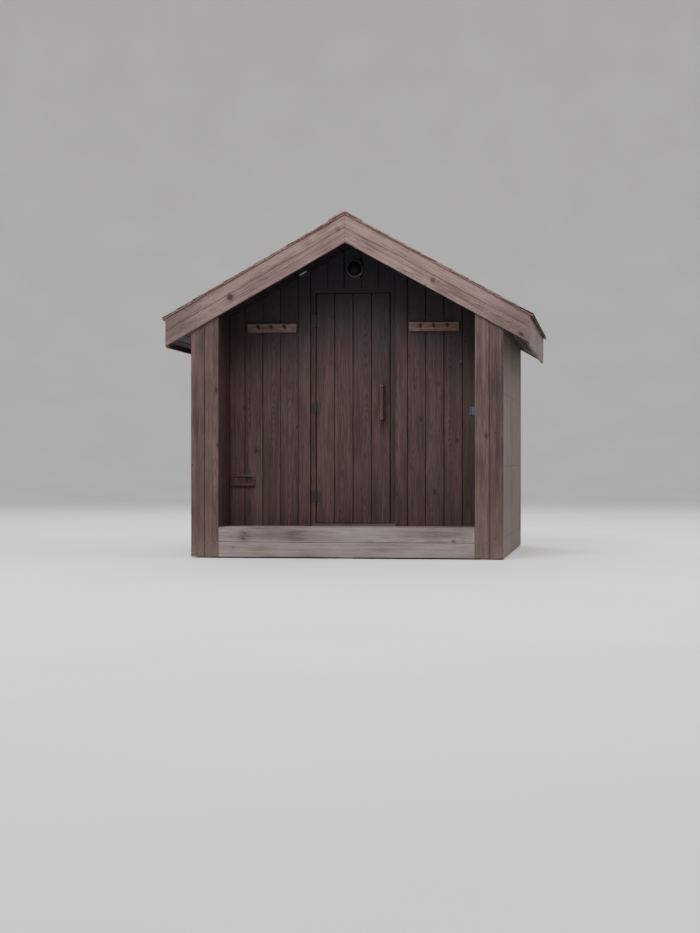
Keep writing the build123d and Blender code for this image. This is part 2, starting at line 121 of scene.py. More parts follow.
class Graph:
    """The node tree of one material, made with short calls."""

    def __init__(self, name: str) -> None:
        """Starts an empty tree.

        Args:
            name: Name of the material.
        """
        self.material = bpy.data.materials.new(name)
        self.material.use_nodes = True
        self.nodes = self.material.node_tree.nodes
        self.links = self.material.node_tree.links
        self.nodes.clear()

    def add(self, kind: str, plugs: Plugs | None = None, **settings: object) -> bpy.types.Node:
        """Adds a node.

        Args:
            kind: Blender's name of the node type.
            plugs: A value or another node's socket for each named input.
            **settings: Properties of the node.

        Returns:
            The new node.
        """
        node = self.nodes.new(kind)
        for key, value in settings.items():
            setattr(node, key, value)
        for key, feed in (plugs or {}).items():
            if isinstance(feed, Socket):
                self.links.new(feed, node.inputs[key])
            else:
                node.inputs[key].default_value = feed
        return node

    def calc(self, operation: str, *values: Feed) -> Socket:
        """Result of one arithmetic step on numbers."""
        return self.add("ShaderNodeMath", dict(enumerate(values)), operation=operation).outputs[0]

    def total(self, *values: Feed) -> Socket:
        """Sum of several numbers."""
        return functools.reduce(functools.partial(self.calc, "ADD"), values)

    def product(self, *values: Feed) -> Socket:
        """Product of several numbers."""
        return functools.reduce(functools.partial(self.calc, "MULTIPLY"), values)

    def vector(self, operation: str, *values: Feed) -> Socket:
        """Result of one arithmetic step on vectors."""
        return self.add("ShaderNodeVectorMath", dict(enumerate(values)), operation=operation).outputs[0]

    def length(self, vector: Feed) -> Socket:
        """Length of a vector."""
        return self.add("ShaderNodeVectorMath", {0: vector}, operation="LENGTH").outputs["Value"]

    def join(self, x: Feed, y: Feed, z: Feed) -> Socket:
        """A vector of three numbers."""
        return self.add("ShaderNodeCombineXYZ", {0: x, 1: y, 2: z}).outputs[0]

    def split(self, vector: Socket) -> tuple[Socket, ...]:
        """The three numbers of a vector."""
        return tuple(self.add("ShaderNodeSeparateXYZ", {0: vector}).outputs)

    def cells(self, parts: Sequence[Feed], counts: Triple) -> Socket:
        """A vector of three numbers, each times its count of cells a metre."""
        return self.join(*(self.product(part, count) for part, count in zip(parts, counts, strict=True)))

    def rise(self, value: Feed, low: Feed, high: Feed) -> Socket:
        """0 below low, 1 above high, and a smooth curve between."""
        plugs = {"Value": value, "From Min": low, "From Max": high}
        return self.add("ShaderNodeMapRange", plugs, interpolation_type="SMOOTHSTEP").outputs[0]

    def fall(self, value: Feed, low: Feed, high: Feed) -> Socket:
        """1 below low, 0 above high, and a smooth curve between."""
        return self.calc("SUBTRACT", 1.0, self.rise(value, low, high))

    def noise(
        self, vector: Socket, scale: float = 1.0, detail: float = 2.0, roughness: float = 0.5
    ) -> Socket:
        """A soft random value about a half.

        Args:
            vector: Coordinates.
            scale: Cells a unit.
            detail: Octaves.
            roughness: Share of the fine octaves.

        Returns:
            The value's socket.
        """
        plugs = {"Vector": vector, "Scale": scale, "Detail": detail, "Roughness": roughness}
        return self.add("ShaderNodeTexNoise", plugs).outputs[0]

    def swing(self, value: Feed, width: Feed) -> Socket:
        """A random value about a half turned into one about zero of that width."""
        return self.calc("MULTIPLY", self.calc("SUBTRACT", value, 0.5), width)

    def blend(self, factor: Feed, first: Feed, second: Feed, mode: str = "MIX") -> Socket:
        """Two colours mixed by a factor."""
        plugs = {0: factor, 6: _colour(first), 7: _colour(second)}
        return self.add("ShaderNodeMix", plugs, data_type="RGBA", blend_type=mode).outputs[2]

    def ramp(self, value: Feed, stops: Sequence[tuple[float, Triple]]) -> Socket:
        """A colour between stops.

        Args:
            value: Where to look between them.
            stops: Place and colour of each stop.

        Returns:
            The colour's socket.
        """
        node = self.add("ShaderNodeValToRGB", {0: value})
        elements = node.color_ramp.elements
        while len(elements) < len(stops):
            elements.new(0.5)
        for element, (position, colour) in zip(elements, stops, strict=True):
            element.position = position
            element.color = (*colour, 1.0)
        return node.outputs[0]

    def place(self) -> Socket:
        """The point's place in the cabin's frame."""
        return self.add("ShaderNodeTexCoord").outputs["Object"]

    def attribute(self, name: str, output: str) -> Socket:
        """A value that the mesh carries."""
        return self.add("ShaderNodeAttribute", attribute_name=name).outputs[output]

    def surface(self, plugs: Plugs, height: Feed) -> bpy.types.Material:
        """Ends the tree with the shader.

        Args:
            plugs: Inputs of the shader.
            height: Relief of the surface in metres.

        Returns:
            The finished material.
        """
        relief = self.add("ShaderNodeBump", {"Height": height, "Strength": 1.0, "Distance": 1.0})
        shader = self.add("ShaderNodeBsdfPrincipled", {"Normal": relief.outputs[0], **plugs})
        self.add("ShaderNodeOutputMaterial", {0: shader.outputs[0]})
        return self.material


def _colour(feed: Feed) -> Feed:
    """A plain colour with its alpha, or the socket as it is."""
    return (*feed, 1.0) if isinstance(feed, tuple) else feed


@dataclass(frozen=True)
class Finish:
    """What a piece is dressed with."""

    name: str
    slot: Slot

    def material(self) -> bpy.types.Material:
        """Makes the material."""
        raise NotImplementedError


@functools.cache
def material_of(finish: Finish) -> bpy.types.Material:
    """The finish's material, made once."""
    return finish.material()


@dataclass(frozen=True)
class Mark:
    """A knot or a stain at its own place on the front."""

    x: float  # place across the front in metres
    z: float  # height in metres
    radius: float
    depth: float  # how dark it is, from 0 to 1
    stretch: float = 1.0  # its length across the front for its height


@dataclass(frozen=True)
class Figure:
    """One random layer of a board's figure."""

    cells: Triple  # cells a metre along, across and into the board
    sway: float = 1.0  # how much it sways the tone
    relief: float = 0.0  # its height in metres
    detail: float = 3.0  # octaves of its noise


FIBRE = Figure((9.0, 520.0, 520.0), sway=0.85, relief=0.0001)
STREAK = Figure((1.4, 42.0, 42.0), sway=1.6, relief=0.00035)
LINE = Figure((6.0, 105.0, 105.0), sway=1.4, detail=2.0)
CLOUD = Figure((1.7, 7.0, 7.0))
WANDER = Figure((5.0, 28.0, 28.0), sway=0.005)


@dataclass(frozen=True)
class Wood(Finish):
    """Wood with growth rings, fibres, knots, drying cracks and its stain."""

    dark: Triple  # colour of the darkest streaks
    middle: Triple
    light: Triple  # colour of the lightest streaks
    faded: Triple  # colour where the weather has bleached it
    fading: float = 0.3  # how much of it is bleached, from 0 to 1
    grain: Grain = Grain.BOARD  # where it takes its direction of growth from
    even_tone: float = 0.1  # tone of a node that carries none of its own
    contrast: float = 1.0  # strength of the rings and streaks
    mottle: float = 0.95  # strength of the broad clouds of tone
    tone_sway: float = 0.22  # how much a board's own tone, or a ring, sways the tone
    ring: float = 0.0055  # distance between growth rings in metres
    ring_relief: float = 0.00012  # height of the rings in metres
    knots: float = 0.35  # share of the knot places that hold one
    knot_places: Pair = (2.3, 7.0)  # knot places a metre along and across the board
    knot_radius: Pair = (0.0036, 0.0118)  # smallest radius of a knot in metres, and what the largest one adds
    knot_depth: float = 0.0004  # how far a knot has sunk in metres
    cracks: float = 0.8  # strength of the drying cracks
    crack_depth: float = 0.0012  # their depth in metres
    gloss: float = 0.62  # roughness of the clean surface
    painted_roof_shade: float = 0.0  # painted shade: how much darker and bluer the stain is painted up under the roof, from 0 to 1
    painted_roof_shade_span: Pair = (1.3, 2.25)  # heights between which that painted shade sets in
    dust: float = 0.0  # strength of the lighter band near the ground: splashed dirt and painted light bounced up from the ground
    ground_band: Pair = (0.16, 0.36)  # lowest height that the band reaches, and what its ragged edge adds
    band_colour: Triple = (0.17, 0.135, 0.105)  # colour of that band
    marks: tuple[Mark, ...] = ()  # knots and stains with a place of their own
    largest_knot: float = 0.04  # radius from which a mark is a stain
    spot: Triple = (0.016, 0.011, 0.012)  # colour of the marks

    @property
    def shade(self) -> Triple:
        """Colour of the knots' hearts and of the cracks."""
        return tuple(part * 0.35 for part in self.dark)

    def material(self) -> bpy.types.Material:
        """Makes the material.

        Returns:
            The finished material.
        """
        g = Graph(self.name)
        place = g.place()
        growth, tone = self._growth(g, place)
        core, halo, bend = self._knots(g, growth)
        ring = self._rings(g, growth, tone, bend)
        crack = self._cracks(g, growth)
        fibre, streak, line, cloud = (
            g.noise(g.cells(growth, figure.cells), detail=figure.detail)
            for figure in (FIBRE, STREAK, LINE, CLOUD))
        value = g.total(
            0.5,
            g.swing(streak, STREAK.sway * self.contrast),
            g.swing(fibre, FIBRE.sway * self.contrast),
            g.swing(line, LINE.sway * self.contrast),
            g.swing(cloud, self.mottle * self.contrast),
            g.swing(ring, -self.tone_sway * self.contrast),
            g.product(tone, self.tone_sway),
        )
        worn = g.rise(g.noise(place, scale=2.4, detail=3.0), 0.36, 0.66)
        bleach = g.product(
            g.total(g.product(worn, 0.7), 0.3), g.total(g.product(streak, 0.8), 0.6), self.fading)
        colour = g.ramp(value, ((0.0, self.dark), (0.5, self.middle), (1.0, self.light)))
        colour = g.blend(bleach, colour, self.faded)
        colour = g.blend(g.product(halo, 0.4), colour, self.dark)
        colour = g.blend(core, colour, self.shade)
        colour = g.blend(g.product(crack, 0.85), colour, self.shade)
        for mark in self.marks:
            colour = self._marked(g, colour, place, mark)
        # painted roof shade, and the lighter band near the ground
        colour = self._roof_shade_and_ground_band(g, colour, place)
        rough = g.total(self.gloss, g.product(ring, 0.08), g.swing(streak, 0.22), g.product(bleach, 0.16))
        height = g.total(
            g.product(ring, self.ring_relief),
            g.product(fibre, FIBRE.relief),
            g.product(streak, STREAK.relief),
            g.product(crack, -self.crack_depth),
            g.product(core, -self.knot_depth),
        )
        return g.surface({"Base Color": colour, "Roughness": rough, "Specular IOR Level": 0.35}, height)

    def _growth(self, g: Graph, place: Feed) -> tuple[Sequence[Feed], Feed]:
        """Where a point lies in the trunk.

        Args:
            g: The node tree.
            place: The point's place in the cabin's frame.

        Returns:
            Metres along, across and into the board, and the board's tone.
        """
        if self.grain is Grain.BOARD:
            return g.split(g.attribute("grain", "Vector")), g.attribute("tone", "Fac")
        x, y, z = g.split(place)
        return (y, x, z), self.even_tone

    def _knots(self, g: Graph, growth: Sequence[Feed]) -> tuple[Feed, Feed, Feed]:
        """Knots at random places.

        Args:
            g: The node tree.
            growth: Metres along, across and into the board.

        Returns:
            Masks of their hearts, of the dark rim round them and of the bent grain.
        """
        along, across, _ = growth
        spread = (*self.knot_places, 1.0)
        cell = g.join(g.product(along, spread[0]), g.product(across, spread[1]), 0.0)
        knots = g.add("ShaderNodeTexVoronoi", {"Vector": cell, "Scale": 1.0}, voronoi_dimensions="2D")
        x, y, _ = g.split(g.vector("DIVIDE", g.vector("SUBTRACT", cell, knots.outputs["Position"]), spread))
        red, green, _ = g.split(knots.outputs["Color"])
        ragged = g.swing(g.noise(g.join(g.product(x, 120.0), g.product(y, 120.0), red)), 0.75)
        size = g.total(self.knot_radius[0], g.product(green, green, self.knot_radius[1]))
        length = g.length(g.join(g.product(x, 0.62), y, 0.0))
        reach = g.total(g.calc("DIVIDE", length, size), ragged)
        present = g.calc("LESS_THAN", red, self.knots)
        heart = g.total(0.62, g.product(g.calc("SINE", g.product(reach, 17.0)), 0.16), g.product(reach, 0.22))
        core = g.product(present, g.fall(reach, 0.84, 1.03), heart)
        halo = g.product(present, g.fall(reach, 0.9, 2.4))
        bend = g.product(present, g.fall(reach, 0.4, 4.5), size)
        return core, halo, bend

    def _rings(self, g: Graph, growth: Sequence[Feed], tone: Feed, bend: Feed) -> Feed:
        """Growth rings as a plain-sawn board shows them.

        Args:
            g: The node tree.
            growth: Metres along, across and into the board.
            tone: The board's tone, which also says where it was sawn from.
            bend: How far the grain gives way to a knot.

        Returns:
            The late wood of each ring, from 0 to 1.
        """
        along, across, deep = growth
        drift = g.noise(g.join(g.product(along, 0.7), g.product(tone, 9.0), 0.0), detail=2.0)
        lean = g.noise(g.join(g.product(along, 0.45), g.product(tone, 7.0), 5.0), detail=1.0)
        height = g.calc("ABSOLUTE", g.total(0.06, deep, g.swing(drift, 0.2)))
        offset = g.total(across, g.product(tone, -0.1), g.swing(lean, 0.12))
        radius = g.calc("SQRT", g.total(g.product(offset, offset), g.product(height, height)))
        wander = g.swing(g.noise(g.cells(growth, WANDER.cells)), WANDER.sway)
        path = g.total(radius, wander, g.product(bend, 2.2))
        wave = g.calc("SINE", g.product(path, math.tau / self.ring))
        return g.calc("POWER", g.total(0.5, g.product(wave, 0.5)), 1.8)

    def _cracks(self, g: Graph, growth: Sequence[Feed]) -> Feed:
        """Fine drying cracks along the grain.

        Args:
            g: The node tree.
            growth: Metres along, across and into the board.

        Returns:
            Their mask.
        """
        along, across, _ = growth
        lines = g.noise(g.cells(growth, (2.0, 60.0, 20.0)), detail=1.0)
        line = g.fall(g.calc("ABSOLUTE", g.calc("SUBTRACT", lines, 0.5)), 0.0, 0.012)
        where = g.rise(g.noise(g.join(g.product(along, 1.3), g.product(across, 8.0), 3.7)), 0.6, 0.68)
        return g.product(line, where, self.cracks)

    def _marked(self, g: Graph, colour: Feed, place: Feed, mark: Mark) -> Feed:
        """Adds one knot or stain.

        Args:
            g: The node tree.
            colour: The colour before.
            place: The point's place in the cabin's frame.
            mark: The knot or stain.

        Returns:
            The colour with it.
        """
        shift = g.vector("SUBTRACT", place, (mark.x, 0.0, mark.z))
        length = g.length(g.vector("MULTIPLY", shift, (1.0 / mark.stretch, 0.0, 1.0)))
        r, depth = mark.radius, mark.depth
        if r > self.largest_knot:
            ragged = g.total(length, g.swing(g.noise(place, scale=70.0, detail=3.0), r))
            return g.blend(g.product(g.fall(ragged, r * 0.35, r * 1.15), depth), colour, self.spot)
        ragged = g.total(length, g.swing(g.noise(place, scale=110.0, detail=2.0), r * 0.5))
        wave = g.calc("SINE", g.product(ragged, 14.0 / r))
        heart = g.total(depth * 0.95, g.product(wave, depth * 0.18))
        colour = g.blend(g.product(g.fall(ragged, r * 0.7, r * 1.7), depth * 0.4), colour, self.dark)
        return g.blend(g.product(g.fall(ragged, r * 0.72, r * 0.92), heart), colour, self.spot)

    def _roof_shade_and_ground_band(self, g: Graph, colour: Feed, place: Feed) -> Feed:
        """Paints shade up under the roof, darker and bluer, and a lighter band near the ground, of splashed
        dirt and painted light bounced up from the ground.

        Args:
            g: The node tree.
            colour: The colour before.
            place: The point's place in the cabin's frame.

        Returns:
            The colour after.
        """
        _, _, z = g.split(place)
        if self.painted_roof_shade:
            # painted shade: darker and bluer towards the roof
            shade_up = g.product(g.rise(z, *self.painted_roof_shade_span), self.painted_roof_shade)
            warm_kept = g.calc("SUBTRACT", 1.0, shade_up)
            blue_kept = g.calc("SUBTRACT", 1.0, g.product(shade_up, 0.76))
            colour = g.blend(1.0, colour, g.join(warm_kept, warm_kept, blue_kept), "MULTIPLY")
        # lighter band near the ground: splashed dirt and painted bounce light
        if self.dust:
            lowest, more = self.ground_band
            reach = g.total(lowest, g.product(g.noise(place, scale=3.0, detail=4.0), more))
            low = g.calc("POWER", g.fall(z, 0.0, reach), 1.6)
            grains = g.rise(g.noise(place, scale=85.0, detail=3.0, roughness=0.7), 0.38, 0.66)
            dirt = g.product(low, g.total(0.45, g.product(grains, 0.55)), self.dust)
            colour = g.blend(dirt, colour, self.band_colour)
        return colour


@dataclass(frozen=True)
class Granules(Finish):
    """Mineral granules on bitumen shingles."""

    base: Triple  # main colour of the granules
    dark: Triple  # colour of the dark ones
    pale: Triple  # colour of the pale ones
    dirt: Triple  # colour of the dirt that has settled
    rim: Triple  # colour of the worn, littered edges over both gables
    rim_span: Pair = (1.318, 1.336)  # distances from the cabin's middle between which that sets in
    grit: float = 430.0  # granules a metre

    def material(self) -> bpy.types.Material:
        """Makes the material.

        Returns:
            The finished material.
        """
        g = Graph(self.name)
        place = g.place()
        grit = g.add("ShaderNodeTexVoronoi", {"Vector": place, "Scale": self.grit})
        red, green, _ = g.split(grit.outputs["Color"])
        colour = g.ramp(red, ((0.0, self.dark), (0.45, self.base), (1.0, self.pale)))
        tone = g.attribute("tone", "Fac")
        shade = g.total(1.0, g.product(tone, 0.17), g.swing(g.noise(place, scale=5.0, detail=5.0), 1.1))
        colour = g.blend(1.0, colour, g.join(shade, shade, shade), "MULTIPLY")
        settled = g.rise(g.noise(place, scale=3.1, detail=6.0, roughness=0.72), 0.47, 0.68)
        colour = g.blend(g.product(settled, 0.8), colour, self.dirt)
        _, y, _ = g.split(place)
        speckle = g.rise(g.noise(place, scale=60.0, detail=4.0, roughness=0.7), 0.31, 0.58)
        littered = g.product(g.rise(g.calc("ABSOLUTE", y), *self.rim_span), speckle)
        colour = g.blend(g.product(littered, 0.9), colour, self.rim)
        rough = g.total(0.82, g.product(green, 0.16))
        height = g.total(
            g.product(grit.outputs["Distance"], -0.0007),
            g.product(g.noise(place, scale=55.0, detail=3.0), 0.0012),
        )
        return g.surface({"Base Color": colour, "Roughness": rough, "Specular IOR Level": 0.3}, height)


@dataclass(frozen=True)
class Smooth(Finish):
    """Moulded plastic, painted or bare metal, with light wear and dust."""

    colour: Triple
    worn: Triple  # colour of the worn or dusty patches
    wear: float = 0.3  # how much is worn or dusty, from 0 to 1
    roughness: float = 0.45  # roughness of the clean surface
    metallic: float = 0.0  # 1 for bare metal
    texture: float = 0.00003  # height of its fine moulded or cast texture in metres

    def material(self) -> bpy.types.Material:
        """Makes the material.

        Returns:
            The finished material.
        """
        g = Graph(self.name)
        place = g.place()
        patch = g.noise(place, scale=38.0, detail=5.0, roughness=0.65)
        fine = g.noise(place, scale=900.0, detail=1.0)
        wear = g.product(g.rise(patch, 0.45, 0.75), self.wear)
        colour = g.blend(wear, self.colour, self.worn)
        rough = g.total(self.roughness, g.product(wear, 0.35), g.swing(fine, 0.1))
        height = g.total(g.product(fine, self.texture), g.product(patch, self.texture * 3.0))
        return g.surface({"Base Color": colour, "Roughness": rough, "Metallic": self.metallic}, height)


@dataclass(frozen=True)
class FrostedGlass(Finish):
    """Moulded lamp glass with a fine pebbled texture and a film of dust."""

    # near-black colour of the glass, painted shade
    painted_shade_tint: Triple
    dust: Triple  # colour of the film on it

    def material(self) -> bpy.types.Material:
        """Makes the material.

        Returns:
            The finished material.
        """
        g = Graph(self.name)
        place = g.place()
        film = g.rise(g.noise(place, scale=24.0, detail=4.0), 0.42, 0.78)
        colour = g.blend(g.product(film, 0.5), self.painted_shade_tint, self.dust)
        rough = g.total(0.4, g.product(film, 0.22))
        pebbles = g.add("ShaderNodeTexVoronoi", {"Vector": place, "Scale": 260.0}, feature="SMOOTH_F1")
        height = g.product(pebbles.outputs["Distance"], 0.0003)
        return g.surface({
            "Base Color": colour, "Roughness": rough, "Transmission Weight": 0.15, "Specular IOR Level": 0.05,
        }, height)


STAIN = Wood(
    "brown_stain", Slot.BOARDS, dark=(0.013, 0.0054, 0.0046), middle=(0.044, 0.02, 0.0174),
    light=(0.084, 0.047, 0.041), faded=(0.13, 0.089, 0.08), fading=0.25, contrast=1.12, dust=0.34,
)
SIDE_STAIN = Wood(
    "weather_side_stain", Slot.BOARDS, dark=(0.014, 0.0075, 0.006), middle=(0.044, 0.026, 0.0205),
    light=(0.084, 0.06, 0.048), faded=(0.128, 0.106, 0.082), fading=0.34, contrast=0.85, dust=0.34,
)
# the brown stain darkened as painted shade, for the porch, its ceiling, the doorway, the door and the
# soffits, and darker and bluer still up under the roof
SHADED_STAIN = Wood(
    "painted_shade_stain", Slot.BOARDS, dark=(0.007, 0.0028, 0.0025), middle=(0.0258, 0.011, 0.0098),
    light=(0.06, 0.029, 0.025), faded=(0.082, 0.051, 0.045), fading=0.13, contrast=0.9, dust=0.15,
    knots=0.5, gloss=0.6, painted_roof_shade=0.9,
    marks=(
        Mark(-0.494, 1.36, 0.035, 0.6),
        Mark(0.677, 1.36, 0.022, 0.75),
        Mark(0.702, 1.252, 0.016, 0.5),
        Mark(0.533, 1.522, 0.03, 0.4),
    ),
)
# the stain lighter and greyer on the bargeboards and fascias: partly bleached by the weather and partly
# painted light
GABLE_STAIN = Wood(
    "bleached_and_lit_stain", Slot.BOARDS, dark=(0.03, 0.0155, 0.014), middle=(0.103, 0.058, 0.051),
    light=(0.194, 0.125, 0.111), faded=(0.248, 0.175, 0.158), fading=0.44, knots=0.3, contrast=1.3,
    gloss=0.68,
    marks=(
        Mark(-1.44, 1.7, 0.52, 0.36),
        Mark(1.44, 1.7, 0.52, 0.42),
        Mark(-0.8, 1.96, 0.5, 0.2),
        Mark(0.3, 2.56, 0.06, 0.22),
        Mark(-0.3, 2.44, 0.05, 0.25),
        Mark(-0.9, 2.023, 0.028, 0.95),
        Mark(0.677, 2.135, 0.022, 0.6),
        Mark(0.62, 2.09, 0.012, 0.5),
        Mark(-0.055, 2.535, 0.02, 0.45),
    ),
)
BEAM_STAIN = Wood(
    "weathered_stain", Slot.BOARDS, dark=(0.04, 0.026, 0.026), middle=(0.105, 0.077, 0.076),
    light=(0.19, 0.15, 0.146), faded=(0.235, 0.196, 0.192), fading=0.48, contrast=1.15, knots=0.6,
    cracks=1.0, dust=0.4, gloss=0.74, mottle=0.65,
    marks=(
        Mark(-0.789, 0.194, 0.009, 0.62, stretch=1.7),
        Mark(-0.798, 0.152, 0.011, 0.62, stretch=2.0),
        Mark(-0.794, 0.17, 0.06, 0.26),
        Mark(-0.392, 0.155, 0.06, 0.24, stretch=1.4),
        Mark(-0.88, 0.085, 0.008, 0.5, stretch=1.5),
    ),
)
DECK_WOOD = Wood(
    "worn_deck", Slot.DECK, dark=(0.032, 0.021, 0.018), middle=(0.088, 0.062, 0.053),
    light=(0.165, 0.126, 0.108), faded=(0.22, 0.184, 0.162), fading=0.45, contrast=1.15, cracks=1.0,
    gloss=0.7, mottle=0.5,
)
SILL_WOOD = Wood(
    "worn_sill", Slot.BOARDS, dark=(0.015, 0.0085, 0.0072), middle=(0.045, 0.027, 0.023),
    light=(0.095, 0.066, 0.056), faded=(0.11, 0.085, 0.074), fading=0.4, cracks=0.6, gloss=0.58,
)
LINING_WOOD = Wood(
    "room_spruce", Slot.LINING, dark=(0.3, 0.17, 0.085), middle=(0.5, 0.325, 0.18),
    light=(0.64, 0.465, 0.29), faded=(0.56, 0.4, 0.25), fading=0.25, contrast=0.75, cracks=0.2,
    gloss=0.55,
)
BATTEN_WOOD = Wood(
    "aged_spruce", Slot.LINING, dark=(0.125, 0.064, 0.03), middle=(0.27, 0.16, 0.086),
    light=(0.4, 0.265, 0.155), faded=(0.33, 0.225, 0.14), fading=0.25, contrast=0.85, cracks=0.4,
    gloss=0.55,
)
ROUGH_WOOD = Wood(
    "sawn_timber", Slot.ROUGH, dark=(0.12, 0.078, 0.048), middle=(0.235, 0.165, 0.108),
    light=(0.34, 0.255, 0.18), faded=(0.3, 0.255, 0.205), fading=0.45, grain=Grain.ALONG_Y, gloss=0.8,
)
RAIL_WOOD = Wood(
    "oiled_wood", Slot.BARE, dark=(0.021, 0.0104, 0.0072), middle=(0.067, 0.037, 0.027),
    light=(0.145, 0.088, 0.065), faded=(0.145, 0.099, 0.078), fading=0.25, knots=0.1, gloss=0.5,
)
# pegs very dark: partly their own wood, partly painted shade standing in for their shadows
PEG_WOOD = Wood(
    "dark_peg_wood", Slot.BARE, dark=(0.004, 0.002, 0.0014), middle=(0.011, 0.0058, 0.0038),
    light=(0.04, 0.022, 0.015), faded=(0.045, 0.027, 0.02), fading=0.1, knots=0.0, gloss=0.62,
)
PULL_WOOD = Wood(
    "handle_wood", Slot.BARE, dark=(0.012, 0.0055, 0.004), middle=(0.034, 0.017, 0.012),
    light=(0.09, 0.052, 0.038), faded=(0.085, 0.055, 0.042), fading=0.12, knots=0.0, gloss=0.42,
)
SHINGLE = Granules(
    "brown_shingle", Slot.ROOFING, base=(0.052, 0.027, 0.0195), dark=(0.017, 0.0115, 0.0095),
    pale=(0.125, 0.078, 0.057), dirt=(0.04, 0.034, 0.024), rim=(0.29, 0.196, 0.164),
)
LITTER = Wood(
    "dry_litter", Slot.ROOFING, dark=(0.05, 0.028, 0.016), middle=(0.15, 0.08, 0.045),
    light=(0.3, 0.18, 0.105), faded=(0.25, 0.16, 0.1), fading=0.3, knots=0.0, cracks=0.0, gloss=0.85,
)
MOSS = Granules(
    "dry_moss", Slot.ROOFING, base=(0.062, 0.046, 0.024), dark=(0.022, 0.016, 0.01),
    pale=(0.14, 0.095, 0.05), dirt=(0.045, 0.04, 0.02), rim=(0.15, 0.085, 0.05),
)
DARK_STEEL = Smooth(
    "dark_steel", Slot.STEEL, (0.028, 0.024, 0.023), (0.085, 0.045, 0.028), wear=0.5, roughness=0.5,
    metallic=0.6,
)
HOOK_STEEL = Smooth(
    "hook_steel", Slot.STEEL, (0.06, 0.057, 0.055), (0.04, 0.026, 0.02), wear=0.5, roughness=0.42,
    metallic=0.85,
)
NAIL_STEEL = Smooth(
    "nail_heads", Slot.STEEL, (0.06, 0.045, 0.04), (0.05, 0.026, 0.018), wear=0.8, roughness=0.6,
    metallic=0.6,
)
LAMP_PLASTIC = Smooth(
    "lamp_plastic", Slot.LAMP_HOUSING, (0.012, 0.012, 0.013), (0.05, 0.047, 0.044), wear=0.3, roughness=0.5,
)
# grey trim lighter than the housing, a painted highlight on the lamp's rim
LAMP_TRIM = Smooth(
    "lamp_trim", Slot.LAMP_HOUSING, (0.085, 0.082, 0.078), (0.045, 0.041, 0.037), wear=0.6, roughness=0.42,
    metallic=0.7,
)
LIGHT_PLASTIC = Smooth(
    "light_plastic", Slot.LAMP_HOUSING, (0.3, 0.3, 0.29), (0.19, 0.18, 0.16), wear=0.5, roughness=0.5,
)
# glass near black as painted shade
LAMP_GLASS = FrostedGlass(
    "lamp_glass", Slot.LAMP_GLASS, painted_shade_tint=(0.0025, 0.0025, 0.0036), dust=(0.008, 0.0075, 0.0078),
)
SWITCH_PLASTIC = Smooth(
    "switch_plastic", Slot.SWITCH, (0.029, 0.039, 0.07), (0.085, 0.088, 0.092), wear=0.3, roughness=0.52,
)


@dataclass(frozen=True)
class Cut:
    """A plane that trims a board."""

    point: Vector  # a point on the plane
    outwards: Vector  # direction of the side that is taken off

    @classmethod
    def plumb(cls, x: float, side: int) -> Cut:
        """A plumb cut at x that takes off what lies on that side of it."""
        return cls(Vector((x, 0, 0)), Vector((side, 0, 0)))


@dataclass(frozen=True)
class Sizes:
    """Main sizes of the cabin in metres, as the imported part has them."""

    front: float = -1.3
    rear: float = 1.3
    outer: float = 1.215
    cladding: float = 0.02
    stud_wall: float = 0.18
    lining: float = 0.018
    porch_depth: float = 0.4
    floor: float = 0.24
    floor_board: float = 0.028
    skirt: float = 0.01
    apex: float = 2.432
    pitch: float = math.radians(29.0)
    lower_board: float = 0.103
    upper_board: float = 0.086
    gable_board: float = 0.022
    ceiling_low: float = 0.012
    ceiling_top: float = 0.026
    roofing: float = 0.02
    eave: float = 1.415
    fascia: float = 0.02
    frame_side: float = 0.345
    frame_top: float = 2.13
    casing_lap: float = 0.006
    casing_width: float = 0.095

    @property
    def wall_outside(self) -> float:
        """Outer face of the framed side walls."""
        return self.outer - self.cladding

    @property
    def wall_inside(self) -> float:
        """Inner face of the framed side walls."""
        return self.wall_outside - self.stud_wall

    @property
    def porch_side(self) -> float:
        """Side face of the porch."""
        return self.wall_inside - self.lining

    @property
    def porch_face(self) -> float:
        """Face of the porch wall's boards."""
        return self.front + self.porch_depth

    @property
    def porch_wall(self) -> float:
        """Front of the framed porch wall."""
        return self.porch_face + self.cladding

    @property
    def room_front(self) -> float:
        """Room side of the porch wall."""
        return self.porch_wall + self.stud_wall

    @property
    def room_back(self) -> float:
        """Room side of the rear wall."""
        return self.rear - self.cladding - self.stud_wall

    @property
    def casing_inner(self) -> float:
        """Edge of a casing beside the doorway."""
        return self.frame_side - self.casing_lap

    @property
    def ceiling_board(self) -> float:
        """Thickness of the boards below the roof."""
        return self.ceiling_top - self.ceiling_low

    @property
    def ceiling_middle(self) -> float:
        """Middle of those boards, square to the slope."""
        return (self.ceiling_low + self.ceiling_top) / 2

    @property
    def roof_top(self) -> float:
        """Top of the roof panel, square to the slope."""
        return self.lower_board + self.upper_board

    def height(self, x: float, offset: float) -> float:
        """Height of a line along the slope, offset square to it."""
        return self.apex + offset / math.cos(self.pitch) - abs(x) * math.tan(self.pitch)

    def down(self, side: int) -> Vector:
        """Direction down one slope; side is 1 for the right one and -1 for the left one."""
        return Vector((side * math.cos(self.pitch), 0.0, -math.sin(self.pitch)))

    def outwards(self, side: int) -> Vector:
        """Direction square to one slope."""
        return Vector((side * math.sin(self.pitch), 0.0, math.cos(self.pitch)))

    def on_slope(self, side: int, run: float, y: float, offset: float) -> Vector:
        """A point a run down the slope from the ridge."""
        start = Vector((0.0, y, self.apex))
        return start + self.down(side) * run + self.outwards(side) * offset

    def under_roof(self, offset: float) -> list[Cut]:
        """Cuts that trim upright boards below both slopes."""
        return [Cut(self.on_slope(side, 0.0, 0.0, offset), self.outwards(side)) for side in (1, -1)]


SIZES = Sizes()
SPARE = 0.01  # extra length of a board that a cut takes off again


